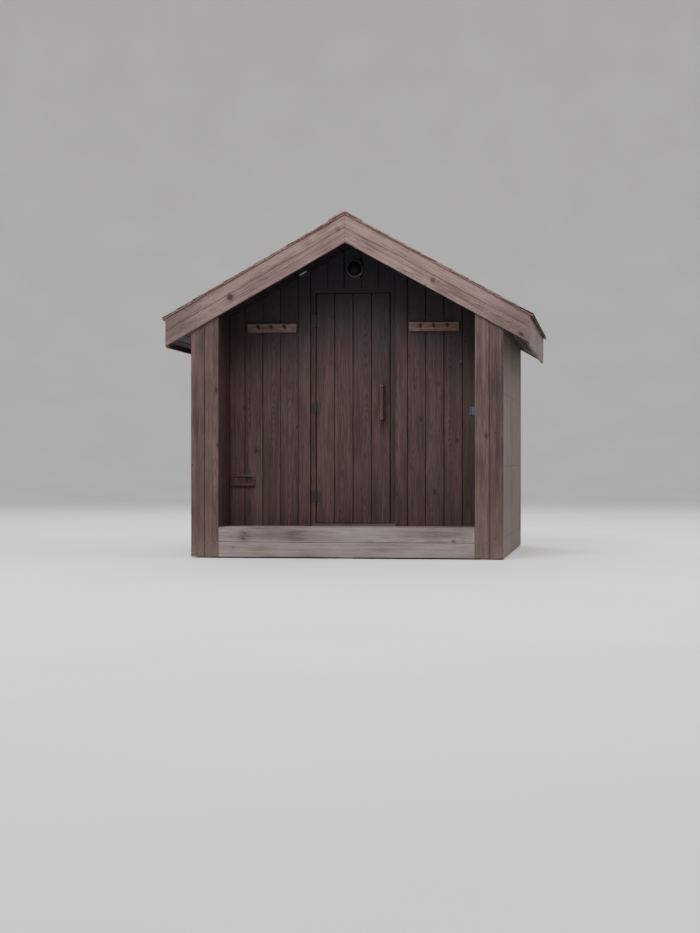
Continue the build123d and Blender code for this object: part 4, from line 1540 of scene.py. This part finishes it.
@dataclass
class Roofing:
    """Shingles in courses on both slopes, and the ridge caps."""

    exposure: float = 0.14  # height of a course
    least: float = 0.4  # share of a course under which none is added at the ridge
    tab: float = 0.333
    tab_gap: float = 0.005
    stagger: float = 0.04  # extra shift from one course to the next, in groups of three
    rag: float = 0.012  # largest distance of a course's ends from the gable edges
    sliver: float = 0.02  # width under which no tab is added
    cell: float = 0.055  # width of a tab's cells
    length: float = 0.285  # length of a tab up the slope
    thickness: float = 0.0042  # thickness of a tab
    sunk: float = 0.0004  # how far the tabs are sunk into the sheet
    sheet: float = 0.0075  # thickness of the sheet below the tabs
    sheet_inset: float = 0.01  # how far the sheet stays behind the tabs at the gables
    sheet_rim: float = 0.006  # how far it stays behind them at the eave
    ridge_gap: float = 0.001  # half of the open joint at the ridge, which the caps cover
    spare: float = 0.2  # extra length of the sheet at both ends, which the cuts take off again
    lip: float = 0.018  # how far the roofing passes the bargeboards' face
    eave_lip: float = 0.03  # how far it passes the fascia
    cap_width: float = 0.146  # reach of a ridge cap down each slope
    cap_count: int = 18
    cap_cells: int = 16  # cells across a cap
    cap_lap: float = 1.6  # length of a cap for its pace
    cap_thickness: float = 0.012  # thickness of a ridge cap with its bedding
    cap_lift: float = 0.0028  # rise of a cap from its rear to its front end
    cap_top: float = 0.0058  # height of the fold's upper side above the roofing's ridge
    cap_fold: float = 0.007  # radius of its fold
    cap_taper: float = 0.04  # share of its width that its covered rear end lacks

    @property
    def reach(self) -> float:
        """Half length of the roofing."""
        return SIZES.rear + SIZES.gable_board + self.lip

    @property
    def run(self) -> float:
        """Length of the roofing's top down the slope, from where the ridge is over the apex."""
        lean = (SIZES.roof_top + SIZES.roofing) * math.sin(SIZES.pitch)
        return (SIZES.eave + self.eave_lip - lean) / math.cos(SIZES.pitch)

    @property
    def rise(self) -> float:
        """Height of a tab's lower end over its upper end."""
        return 2 * self.thickness

    def face(self, distance: float) -> float:
        """Upper face of a tab above the roof panel, at a distance from its lower edge."""
        return self.sheet + self.rise + self.thickness - self.sunk - distance * self.rise / self.length

    def build(self) -> None:
        """Builds both slopes and the caps."""
        self._slope("shingles_right", 1, "roofing_right", 71)
        self._slope("shingles_left", -1, "roofing_left", 72)
        self._caps()

    def _slope(self, name: str, side: int, node: str, seed: int) -> None:
        """Builds one slope of shingles on their sheet.

        Args:
            name: Name of the piece.
            side: 1 for the right slope and -1 for the left one.
            node: The node that it stands for.
            seed: Start of its random numbers.
        """
        s = SIZES
        bench = Bench(name, seed)
        down, outwards = s.down(side), s.outwards(side)
        eave = s.eave + self.eave_lip
        ridge, edge = Cut.plumb(side * self.ridge_gap, -side), Cut.plumb(side * eave, side)
        centre = s.on_slope(side, self.run / 2, 0.0, s.roof_top + self.sheet / 2)
        bench.board(
            (self.run + 2 * self.spare, 2 * (self.reach - self.sheet_inset), self.sheet),
            setting(centre, down, outwards), ease=0.0,
            cuts=(ridge, Cut.plumb(side * (eave - self.sheet_rim), side)))
        level = s.roof_top + self.sheet + (self.rise + self.thickness) / 2 - self.sunk
        tilt = Matrix.Rotation(math.asin(self.rise / self.length), 4, "Y").inverted()
        foot = self.run
        course = 0
        while foot > self.exposure * self.least:
            y = -self.reach - (course % 2) * self.tab / 2 - self.stagger * (course % 3)
            while y < self.reach:
                rag = bench.chance.uniform(0.0, self.rag)
                low, high = max(y, rag - self.reach), min(y + self.tab - self.tab_gap, self.reach - rag)
                if high - low > self.sliver:
                    middle = s.on_slope(side, foot - self.length / 2, (low + high) / 2, level)
                    self._tab(bench, high - low, setting(middle, down, outwards) @ tilt, (ridge, edge))
                y += self.tab
            foot -= self.exposure
            course += 1
        bench.piece(SHINGLE, node)

    def _tab(self, bench: Bench, width: float, place: Matrix, cuts: Iterable[Cut]) -> None:
        """Adds one tab with a slightly uneven lower edge.

        Args:
            bench: The piece in the making.
            width: Its width.
            place: Its place.
            cuts: Planes that trim it.
        """
        solo, chance = box(self.length, width, self.thickness), bench.chance
        bmesh.ops.subdivide_edges(
            solo, edges=edges_along(solo, 1), cuts=max(1, round(width / self.cell)), use_grid_fill=True)
        curl = chance.uniform(-0.0004, 0.0008)
        steps = sorted({round(vert.co.y, 4) for vert in solo.verts})
        slips = {step: (chance.uniform(-0.003, 0.0), chance.uniform(-0.0003, 0.0007)) for step in steps}
        for vert in solo.verts:
            if vert.co.x > 0:
                slip, lift = slips[round(vert.co.y, 4)]
                vert.co.x += slip
                vert.co.z += lift + curl
        rims = [edge for edge in solo.edges if all(vert.co.x > 0 and vert.co.z > 0 for vert in edge.verts)]
        bevel(solo, rims, 0.0011, segments=2)
        bench.lay(solo, place, cuts)

    def _caps(self) -> None:
        """Bent caps that overlap along the ridge."""
        s = SIZES
        bench = Bench("ridge_caps", 73)
        pace = 2 * self.reach / self.cap_count
        width = 2 * self.cap_width * math.cos(s.pitch)
        level = s.height(0.0, s.roof_top + s.roofing) + self.cap_top - self.cap_thickness / 2
        for index in range(self.cap_count):
            length = pace * self.cap_lap if index else pace
            solo = box(width, length, self.cap_thickness)
            bmesh.ops.subdivide_edges(
                solo, edges=edges_along(solo, 0), cuts=self.cap_cells - 1, use_grid_fill=True)
            for vert in solo.verts:
                vert.co.x *= 1.0 - self.cap_taper * (0.5 + vert.co.y / length)
                fold = math.hypot(vert.co.x, self.cap_fold)
                lift = self.cap_lift * (0.5 - vert.co.y / length)
                vert.co.z += lift - math.tan(s.pitch) * fold
            front = [edge for edge in solo.edges if all(vert.co.y < 0 for vert in edge.verts)]
            bevel(solo, front, 0.0006, segments=1)
            y = min(-self.reach + index * pace + length / 2, self.reach - length / 2)
            bench.lay(solo, Matrix.Translation((0.0, y, level)))
        bench.piece(SHINGLE, "ridge_cap", smooth=30.0)


@dataclass
class RoofLitter:
    """Dry needles, crumbs of bark and clumps of moss on the shingles, thickest along the gable edges."""

    roofing: Roofing  # the roofing that they lie on
    crumbs: int = 1500  # number of needles and crumbs
    needles: float = 0.45
    needle_length: Pair = (0.012, 0.03)  # their smallest and largest length
    needle_section: Pair = (0.0013, 0.001)  # their width and height
    crumb_length: Pair = (0.003, 0.009)
    crumb_width: Pair = (0.003, 0.007)
    crumb_height: float = 0.0022
    clumps: int = 150
    near_edge: float = 0.6  # share of the crumbs near a gable edge
    thinning: float = 18.0  # how fast they thin out from there, a metre
    margin: float = 0.016  # smallest distance of a piece's middle from a gable edge
    bare: Pair = (0.06, 0.03)  # bare strips at the ridge and at the eave
    sunk: float = 0.0003  # how far a piece is pressed into the granules
    clump_radius: Pair = (0.004, 0.013)
    clump_height: float = 0.45  # height of a clump for its radius

    def build(self) -> None:
        """Builds the litter and the moss."""
        litter = Bench("roof_litter", 74)
        for _ in range(self.crumbs):
            chance = litter.chance
            flat_turn = Matrix.Rotation(chance.uniform(0.0, math.tau), 4, "Z")
            if chance.random() < self.needles:
                size = (chance.uniform(*self.needle_length), *self.needle_section)
            else:
                length = chance.uniform(*self.crumb_length)
                size = (length, chance.uniform(*self.crumb_width), self.crumb_height)
            litter.board(size, self._spot(litter, size[2] / 2) @ flat_turn, ease=0.0)
        litter.piece(LITTER)
        moss = Bench("roof_moss", 75)
        for _ in range(self.clumps):
            radius = moss.chance.uniform(*self.clump_radius)
            solo = bmesh.new()
            bmesh.ops.create_icosphere(solo, subdivisions=2, radius=radius)
            for vert in solo.verts:
                vert.co *= moss.chance.uniform(0.82, 1.08)
                vert.co.z *= self.clump_height
            moss.lay(solo, self._spot(moss, 0.0))
        moss.piece(MOSS, smooth=60.0)

    def _spot(self, bench: Bench, lift: float) -> Matrix:
        """A place on the shingles' upper face.

        Args:
            bench: The piece in the making.
            lift: Height of the place above that face.

        Returns:
            The place, with its Z axis square to the slope.
        """
        s, roof, chance = SIZES, self.roofing, bench.chance
        side = chance.choice((1, -1))
        limit = roof.reach - self.margin
        if chance.random() < self.near_edge:
            y = chance.choice((1, -1)) * (limit - min(chance.expovariate(self.thinning), limit))
        else:
            y = chance.uniform(-limit, limit)
        run = chance.uniform(self.bare[0], roof.run - self.bare[1])
        offset = s.roof_top + roof.face((roof.run - run) % roof.exposure) + lift - self.sunk
        return setting(s.on_slope(side, run, y, offset), s.down(side), s.outwards(side))


@dataclass
class PegRails:
    """Two rails with turned coat pegs."""

    length: float = 0.394
    height: float = 0.072
    thickness: float = 0.02
    middle: float = 0.646  # distance of its middle from the door's middle
    level: float = 1.811  # height of its middle
    pitch: float = 0.105  # distance from one peg to the next
    tilt: float = math.radians(10.0)  # upward tilt of the pegs
    screw_reach: float = 0.172  # distance of a rail's screws from its middle

    def build(self) -> None:
        """Builds the rails, pegs and screws."""
        s = SIZES
        rails, pegs, screws = Bench("rail_boards", 81), Bench("turned_pegs", 82), Bench("rail_screws", 83)
        outline = (
            (0.0, -0.012), (0.0069, -0.012), (0.0069, 0.002), (0.0078, 0.0022), (0.008, 0.006),
            (0.007, 0.02), (0.0065, 0.034), (0.0075, 0.042), (0.0105, 0.047), (0.0128, 0.051),
            (0.0127, 0.0535), (0.0113, 0.057), (0.0083, 0.06), (0.0043, 0.0616), (0.0, 0.062))
        out = Vector((0.0, -math.cos(self.tilt), math.sin(self.tilt)))
        for side in (1, -1):
            back = Vector((side * self.middle, s.porch_face, self.level))
            rails.board(
                (self.length, self.height, self.thickness),
                setting(back + FRONT * (self.thickness / 2), RIGHT, FRONT), joint=0.003, ease=0.0012)
            face = back + FRONT * self.thickness
            for step in (-1, 0, 1):
                pegs.turned(outline, setting(face + RIGHT * (step * self.pitch), out, RIGHT), steps=28)
            for reach in (-self.screw_reach, self.screw_reach):
                screws.screw(face + RIGHT * reach, FRONT)
        rails.piece(RAIL_WOOD, "peg_rails")
        pegs.piece(PEG_WOOD, "coat_pegs", smooth=40.0)
        screws.piece(DARK_STEEL, smooth=50.0)


@dataclass
class PorchLamp:
    """The round lamp on the gable of the porch wall."""

    x: float = 0.02  # distance from the door's middle
    level: float = 2.274  # height of its middle
    radius: float = 0.068  # radius of its housing
    bowl: float = 0.055  # radius of its glass
    foot: float = 0.03  # distance from the wall at which the glass starts to curve
    dome: float = 0.044  # height of the glass from there

    def build(self) -> None:
        """Builds the housing, its ring and the glass."""
        root = Vector((self.x, SIZES.porch_face, self.level))
        place = setting(root, FRONT, UP)
        r = self.radius
        housing = Bench("lamp_housing_ring", 91)
        housing.turned(
            (
                (0.0, 0.0), (r - 0.002, 0.0), (r, 0.002), (r, 0.0155), (r - 0.0012, 0.0195),
                (r - 0.0042, 0.0226), (r - 0.008, 0.0238), (self.bowl + 0.0042, 0.024),
                (self.bowl + 0.0036, 0.0212), (self.bowl + 0.0004, 0.0208), (0.0, 0.0208),
            ), place, steps=72)
        housing.piece(LAMP_PLASTIC, "lamp_base", smooth=35.0)
        # lighter ring round the rim, a painted highlight
        trim = Bench("lamp_trim_ring", 93)
        trim.turned(
            (
                (r - 0.006, 0.0228), (r - 0.005, 0.0238), (r - 0.0034, 0.0239), (r - 0.0014, 0.0228),
                (r - 0.0002, 0.0206), (r - 0.0004, 0.019), (r - 0.006, 0.019), (r - 0.006, 0.0228),
            ), place, steps=72)
        trim.piece(LAMP_TRIM, smooth=60.0)
        glass = Bench("lamp_bowl", 92)
        outline = [(0.0, 0.0215), (self.bowl - 0.0002, 0.0215), (self.bowl, 0.0235), (self.bowl, self.foot)]
        for step in range(1, 12):
            angle = step / 12 * math.pi / 2
            outline.append((self.bowl * math.cos(angle) ** 0.8, self.foot + self.dome * math.sin(angle)))
        outline.append((0.0, self.foot + self.dome))
        glass.turned(outline, place, steps=72)
        glass.piece(LAMP_GLASS, "lamp_globe", smooth=35.0)


@dataclass
class CeilingLight:
    """A flat light with a lens in a frame, below the left slope."""

    x: float = 0.371  # distance of its middle from the door's middle
    inset: float = 0.26  # distance of its middle behind the front of the walls
    frame: Triple = (0.07, 0.04, 0.006)  # length down the slope, width and depth of the frame
    frame_edge: float = 0.002
    lens: Triple = (0.06, 0.03, 0.0055)  # length, width and depth of the lens
    lens_edge: float = 0.002
    proud: float = 0.005  # how far the lens stands below the frame

    def build(self) -> None:
        """Builds the frame and the lens."""
        depth = self.frame[2]
        frame = self._layer("ceiling_light_frame", self.frame, self.frame_edge, depth / 2)
        frame.piece(LAMP_PLASTIC, "ceiling_light", smooth=35.0)
        drop = depth + self.proud - self.lens[2] / 2
        lens = self._layer("ceiling_light_lens", self.lens, self.lens_edge, drop)
        lens.piece(LIGHT_PLASTIC, smooth=35.0)

    def _layer(self, name: str, size: Triple, edge: float, drop: float) -> Bench:
        """Starts a piece with one rounded box.

        Args:
            name: Name of the piece.
            size: The box's length, width and depth.
            edge: Its rounding.
            drop: Distance of its middle below the ceiling.

        Returns:
            The piece in the making.
        """
        s = SIZES
        bench = Bench(name, 101)
        root = s.on_slope(-1, self.x / math.cos(s.pitch), s.front + self.inset, s.ceiling_low - drop)
        bench.soft_box(size, edge, setting(root, s.down(-1), -s.outwards(-1)))
        return bench


@dataclass
class SwitchBox:
    """A surface box with a proud lid and a rocker, on the porch's right side."""

    inset: float = 0.165  # distance of its middle behind the front of the walls
    rise: float = 0.896  # height of its middle above the floor
    box: Triple = (0.066, 0.066, 0.036)  # height, width and depth of the box
    lid: Triple = (0.07, 0.07, 0.012)  # height, width and depth of the lid
    rocker: Triple = (0.046, 0.03, 0.003)  # height, width and depth of the rocker
    edge: float = 0.0045  # rounding of the box and the lid
    rocker_edge: float = 0.0012
    tilt: float = math.radians(3.0)  # tilt of the rocker

    def build(self) -> None:
        """Builds the box, its lid and the rocker."""
        bench = Bench("surface_switch", 102)
        lid_face = self.box[2] + self.lid[2] - 0.0002
        bench.soft_box(self.box, self.edge, self._at(self.box[2] / 2))
        bench.soft_box(self.lid, self.edge, self._at(lid_face - self.lid[2] / 2))
        tilted = self._at(lid_face) @ Matrix.Rotation(self.tilt, 4, "Y")
        bench.soft_box(self.rocker, self.rocker_edge, tilted, segments=2)
        bench.piece(SWITCH_PLASTIC, "switch_box", smooth=35.0)

    def _at(self, depth: float) -> Matrix:
        """Place of a layer whose middle is that far from the wall."""
        s = SIZES
        return setting((s.porch_side - depth, s.front + self.inset, s.floor + self.rise), UP, LEFT)


@dataclass
class AirVent:
    """A bordered vent with slats and a slide in front of them."""

    gap: float = 0.022  # distance from the porch's left side
    top: float = 0.403  # height of its upper edge above the floor
    width: float = 0.19
    height: float = 0.085
    border: float = 0.016  # width of its border
    depth: float = 0.02  # thickness of its border
    slats: int = 7
    slot: float = 0.006  # gap between slats
    slat_depth: float = 0.006
    slide: Pair = (0.092, 0.005)  # width and thickness of the slide
    play: float = 0.002  # gap before and beside the slide
    knob: float = 0.006  # radius of the slide's knob
    tone: float = 0.8  # tone of the border's level sides, raised as a painted highlight
    ease: float = 0.0008

    def build(self) -> None:
        """Builds the border, the slats, the slide and its knob."""
        s = SIZES
        bench = Bench("vent_frame", 103)
        left = -s.porch_side + self.gap
        middle = s.floor + self.top - self.height / 2
        inner_height = self.height - 2 * self.border
        half = (self.height - self.border) / 2
        y = s.porch_face - self.depth / 2
        # level sides lighter as a painted highlight
        for z in (middle + half, middle - half):
            bench.board(
                (self.width, self.border, self.depth), setting((left + self.width / 2, y, z), RIGHT, FRONT),
                joint=0.003, ease=self.ease, tone=self.tone)
        for x in (left + self.border / 2, left + self.width - self.border / 2):
            bench.board(
                (inner_height, self.border, self.depth), setting((x, y, middle), UP, FRONT), joint=0.003,
                ease=self.ease)
        pace = (self.width - 2 * self.border) / self.slats
        for index in range(self.slats):
            x = left + self.border + (index + 0.5) * pace
            place = setting((x, s.porch_face - (self.slat_depth + self.play) / 2, middle), UP, FRONT)
            bench.board((inner_height, pace - self.slot, self.slat_depth), place, ease=0.0006)
        width, thickness = self.slide
        front = s.porch_face - self.slat_depth - thickness - self.play
        x = left + self.border + width / 2 + self.play
        place = setting((x, front + thickness / 2, middle), UP, FRONT)
        bench.board((inner_height - self.play, width, thickness), place, ease=self.ease)
        r = self.knob
        bench.turned(
            ((0.0, r), (0.75 * r, 0.92 * r), (r, 0.5 * r), (0.8 * r, 0.0), (0.0, 0.0)),
            setting((left + self.border + width - 2 * r, front, middle), FRONT, UP), steps=20)
        bench.piece(SHADED_STAIN, "air_vent")


@dataclass
class CoatHook:
    """A bent wire hook with a ball on its tip, on a small plate with two screws."""

    gap: float = 0.143  # distance of its middle from the porch's right side
    rise: float = 1.281  # height of its middle above the floor
    plate: Triple = (0.046, 0.016, 0.003)  # height, width and thickness of the plate
    wire: float = 0.003
    bend: float = 0.016  # radius of its bend
    ball: float = 0.0042
    screw: float = 0.003  # radius of a screw's head
    screw_shift: float = 0.017  # distance of the screws from the middle

    def build(self) -> None:
        """Builds the plate, the wire, the ball and the screws."""
        s = SIZES
        x, z = s.porch_side - self.gap, s.floor + self.rise
        thickness = self.plate[2]
        bench = Bench("wire_hook", 104)
        bench.soft_box(
            self.plate, 0.3 * thickness, setting((x, s.porch_face - thickness / 2, z), UP, FRONT), segments=2)
        root = s.porch_face - 1.5 * thickness
        turn = Matrix(((0, 0, 1), (1, 0, 0), (0, -1, 0))).to_4x4()
        bench.lay(self._bent_wire(), Matrix.Translation((x, root - self.bend, z)) @ turn)
        r = self.ball
        tip = Vector((x, root - 2 * self.bend, z))
        bench.turned(
            ((0.0, r), (0.71 * r, 0.71 * r), (r, 0.0), (0.71 * r, -0.71 * r), (0.0, -r)),
            setting(tip, UP, FRONT), steps=16)
        for shift in (-self.screw_shift, self.screw_shift):
            bench.screw(Vector((x, s.porch_face - thickness, z + shift)), FRONT, r=self.screw)
        bench.piece(HOOK_STEEL, "coat_hook", smooth=35.0)

    def _bent_wire(self) -> Shape:
        """Bends the wire.

        Returns:
            Half a turn of it, with closed ends.
        """
        solo = bmesh.new()
        circle = bmesh.ops.create_circle(solo, segments=16, radius=self.wire)
        bmesh.ops.rotate(solo, verts=circle["verts"], matrix=Matrix.Rotation(math.radians(90), 3, "X"))
        bmesh.ops.translate(solo, verts=solo.verts[:], vec=(self.bend, 0.0, 0.0))
        bmesh.ops.spin(
            solo, geom=solo.verts[:] + solo.edges[:], cent=(0, 0, 0), axis=(0, 0, 1), angle=math.pi,
            steps=24)
        bmesh.ops.holes_fill(solo, edges=[edge for edge in solo.edges if edge.is_boundary], sides=0)
        return solo


@dataclass
class Door:
    """The boarded leaf with its battens, and the screws in its battens and in both hinge plates."""

    side: float = 0.295  # half width of the leaf
    face: float = -0.878  # its front face
    thickness: float = 0.04
    foot: float = 0.265  # level of its foot
    top: float = 2.08  # level of its top
    boards: int = 4
    batten: float = 0.095  # width of a batten
    # distances of its screws from the door's middle
    batten_screws: tuple[float, ...] = (-0.22, -0.075, 0.075, 0.19)
    hinge: float = 0.09  # length of a hinge
    hinge_screws: Triple = (-0.032, 0.0, 0.032)  # heights of its screws above its middle
    plate: float = 0.003  # thickness of the hinge plates
    screw_inset: float = 0.012  # distance of their screws from the edge

    def build(self) -> None:
        """Builds the leaf, its battens and the screws."""
        leaf = Bench("leaf_boards", 111)
        y = self.face + self.thickness / 2
        middle = (self.foot + self.top) / 2
        leaf.row(
            (-self.side, self.side), 2 * self.side / self.boards, (self.top - self.foot, self.thickness),
            Vector((0.0, y, middle)), RIGHT, UP, FRONT, joint=0.004, both_faces=True)
        leaf.piece(SHADED_STAIN, "door_leaf", body=Body.DOOR)
        self._battens()
        self._screws()

    def _levels(self, low: float, high: float, size: float) -> Triple:
        """Middles of three pieces of one height, low down, halfway up the leaf and high up."""
        return low + size / 2, (self.foot + self.top) / 2, high - size / 2

    def _battens(self) -> None:
        """Three cross battens on the room side."""
        battens = Bench("leaf_battens", 112)
        low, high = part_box("door_battens")
        for level in self._levels(low.z, high.z, self.batten):
            centre = ((low.x + high.x) / 2, (low.y + high.y) / 2, level)
            battens.board(
                (high.x - low.x, self.batten, high.y - low.y), setting(centre, RIGHT, BACK), joint=0.004,
                ease=0.0012)
        battens.piece(BATTEN_WOOD, "door_battens", body=Body.DOOR)

    def _screws(self) -> None:
        """Screws in the hinge plates and the battens."""
        moving, fixed = Bench("leaf_screws", 113), Bench("post_screws", 114)
        low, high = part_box("door_hinges")
        post_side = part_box("frame_hinges")[0].x
        leaf_x, post_x = high.x - self.screw_inset, post_side + self.screw_inset
        for level in self._levels(low.z, high.z, self.hinge):
            for shift in self.hinge_screws:
                moving.screw(Vector((leaf_x, self.face - self.plate, level + shift)), FRONT)
                fixed.screw(Vector((post_x, SIZES.porch_wall - self.plate, level + shift)), FRONT)
        low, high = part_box("door_battens")
        for level in self._levels(low.z, high.z, self.batten):
            for x in self.batten_screws:
                moving.screw(Vector((x, high.y, level)), BACK)
        moving.piece(DARK_STEEL, body=Body.DOOR, smooth=50.0)
        fixed.piece(DARK_STEEL, smooth=50.0)


@dataclass
class DoorPulls:
    """A wooden pull on each face of the leaf: a rounded grip on two posts, with plugs over the screws."""

    x: float = 0.235  # distance from the door's middle
    level: float = 1.215  # height of its middle
    grip: Triple = (0.28, 0.034, 0.026)  # length, width and depth of the grip
    edge: float = 0.0085
    post: Pair = (0.034, 0.03)  # size of a post along the grip and across it
    post_edge: float = 0.003
    reach: float = 0.122  # distance of a post's middle from the pull's middle
    stand_off: float = 0.038  # gap between the leaf and the grip
    sunk: float = 0.006  # how far a post goes into the grip
    plug: float = 0.0055

    def build(self) -> None:
        """Builds both pulls."""
        bench = Bench("wooden_pulls", 121)
        r, depth, rise = self.plug, self.stand_off + self.sunk, self.grip[2]
        plug = ((0.0, 0.0), (0.8 * r, -0.0002), (r, -0.0008), (r, -0.003), (0.0, -0.003))
        for face, facing in ((Door.face, FRONT), (Door.face + Door.thickness, BACK)):
            root = Vector((self.x, face, self.level))
            middle = root + facing * (self.stand_off + rise / 2)
            bench.soft_box(self.grip, self.edge, setting(middle, UP, facing), segments=5)
            for shift in (-self.reach, self.reach):
                foot = root + UP * shift
                place = setting(foot + facing * (depth / 2), UP, facing)
                bench.soft_box((*self.post, depth), self.post_edge, place, segments=3)
                tip = foot + facing * (self.stand_off + rise)
                bench.turned(plug, setting(tip, facing, UP), steps=20, tone=-1.0)
        bench.piece(PULL_WOOD, "door_handles", body=Body.DOOR, smooth=40.0)


@dataclass
class KeptNodes:
    """The part's own nodes that stay, with their finishes."""

    nodes: dict[str, bpy.types.Object]  # the part's node objects by name
    finishes: tuple[tuple[str, Finish], ...] = (
        ("floor_bearers", ROUGH_WOOD),
        ("floor_frame", ROUGH_WOOD),
        ("roof_panel_left", ROUGH_WOOD),
        ("roof_panel_right", ROUGH_WOOD),
        ("door_hinges", DARK_STEEL),
        ("frame_hinges", DARK_STEEL),
    )

    def build(self) -> None:
        """Gives each kept node its material."""
        for name, finish in self.finishes:
            materials = self.nodes[name].data.materials
            materials.clear()
            materials.append(material_of(finish))
            LOG.info("%s: kept", name)


@dataclass
class Studio:
    """A pale floor, soft lights and the camera."""

    eye: Triple = (2.057, -15.164, 0.711)  # place of the camera
    turn: float = 8.29  # how far it is turned to the left, in degrees
    focal: float = 1822.2  # its focal length in pixels
    image: float = 933.0  # height of the image in pixels
    sensor: float = 36.0  # height of its sensor in millimetres
    floor: float = 22.0  # radius of the level floor
    curve: float = 14.0  # radius of the curve round it
    aim: Triple = (0.0, 0.0, 1.2)  # where the lights point
    # name, place, size and power of each light
    lights: tuple[tuple[str, Triple, float, float], ...] = (
        ("key", (-1.5, -9.2, 12.0), 7.0, 2350.0),
        ("side", (9.0, -1.0, 9.0), 6.0, 900.0),
        ("back", (-2.0, 9.0, 11.0), 7.0, 1300.0),
    )
    sky: Triple = (0.97, 0.97, 1.0)  # colour of the light from all sides

    def build(self) -> None:
        """Builds the studio."""
        self._floor()
        for light in self.lights:
            self._light(*light)
        world = bpy.data.worlds.new("studio_world")
        world.use_nodes = True
        background = world.node_tree.nodes["Background"]
        background.inputs[0].default_value = (*self.sky, 1.0)
        background.inputs[1].default_value = 1.0
        bpy.context.scene.world = world
        lens = bpy.data.cameras.new("camera")
        lens.sensor_width = self.sensor
        lens.lens = self.focal * self.sensor / self.image
        lens.clip_start, lens.clip_end = 0.1, 200.0
        camera = bpy.data.objects.new("camera", lens)
        camera.location = self.eye
        camera.rotation_euler = (math.radians(90.0), 0.0, math.radians(self.turn))
        bpy.context.scene.collection.objects.link(camera)
        bpy.context.scene.camera = camera

    def _floor(self) -> None:
        """A wide disc that curves up far away."""
        bowl = bmesh.new()
        flat, curve = self.floor, self.curve
        outline = [(0.0, 0.0), (flat, 0.0)]
        for step in range(1, 17):
            angle = step / 16 * math.pi / 2
            outline.append((flat + curve * math.sin(angle), curve - curve * math.cos(angle)))
        outline.append((flat + curve, curve + 5.0))
        verts = [bowl.verts.new((radius, 0.0, height)) for radius, height in outline]
        edges = [bowl.edges.new(pair) for pair in zip(verts, verts[1:])]
        bmesh.ops.spin(
            bowl, geom=verts + edges, cent=(0, 0, 0), axis=(0, 0, 1), angle=math.tau, steps=96,
            use_merge=True)
        bmesh.ops.remove_doubles(bowl, verts=bowl.verts[:], dist=1e-5)
        bmesh.ops.recalc_face_normals(bowl, faces=bowl.faces[:])
        mesh = bpy.data.meshes.new("studio_floor")
        bowl.to_mesh(mesh)
        bowl.free()
        mesh.shade_smooth()
        g = Graph("studio_floor")
        tone = g.noise(g.place(), scale=0.7)
        colour = g.ramp(tone, ((0.3, (0.56, 0.55, 0.535)), (0.7, (0.6, 0.59, 0.575))))
        mesh.materials.append(g.surface({"Base Color": colour, "Roughness": 0.85}, 0.0))
        floor = bpy.data.objects.new("studio_floor", mesh)
        bpy.context.scene.collection.objects.link(floor)

    def _light(self, name: str, place: Triple, size: float, power: float) -> None:
        """Adds a soft square light that is aimed at the cabin.

        Args:
            name: Its name.
            place: Its place.
            size: Length of its sides.
            power: Its power in watts.
        """
        lamp = bpy.data.lights.new(name, "AREA")
        lamp.size, lamp.energy = size, power
        holder = bpy.data.objects.new(name, lamp)
        holder.location = place
        aim = Vector(self.aim) - Vector(place)
        holder.rotation_euler = aim.to_track_quat("-Z", "Y").to_euler()
        bpy.context.scene.collection.objects.link(holder)


def main() -> None:
    """Builds and dresses the whole cabin and its studio."""
    logging.basicConfig(level=logging.INFO, format="%(name)s %(message)s")
    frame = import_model()
    roofing = Roofing()
    assemblies: tuple[Assembly, ...] = (
        OuterWalls(), Porch(), Room(), Doorway(), Gables(), Eaves(), roofing, RoofLitter(roofing), PegRails(),
        PorchLamp(), CeilingLight(), SwitchBox(), AirVent(), CoatHook(), Door(), DoorPulls(),
        KeptNodes(frame["nodes"]), Studio(),
    )
    for assembly in assemblies:
        assembly.build()


if __name__ == "__main__":
    main()
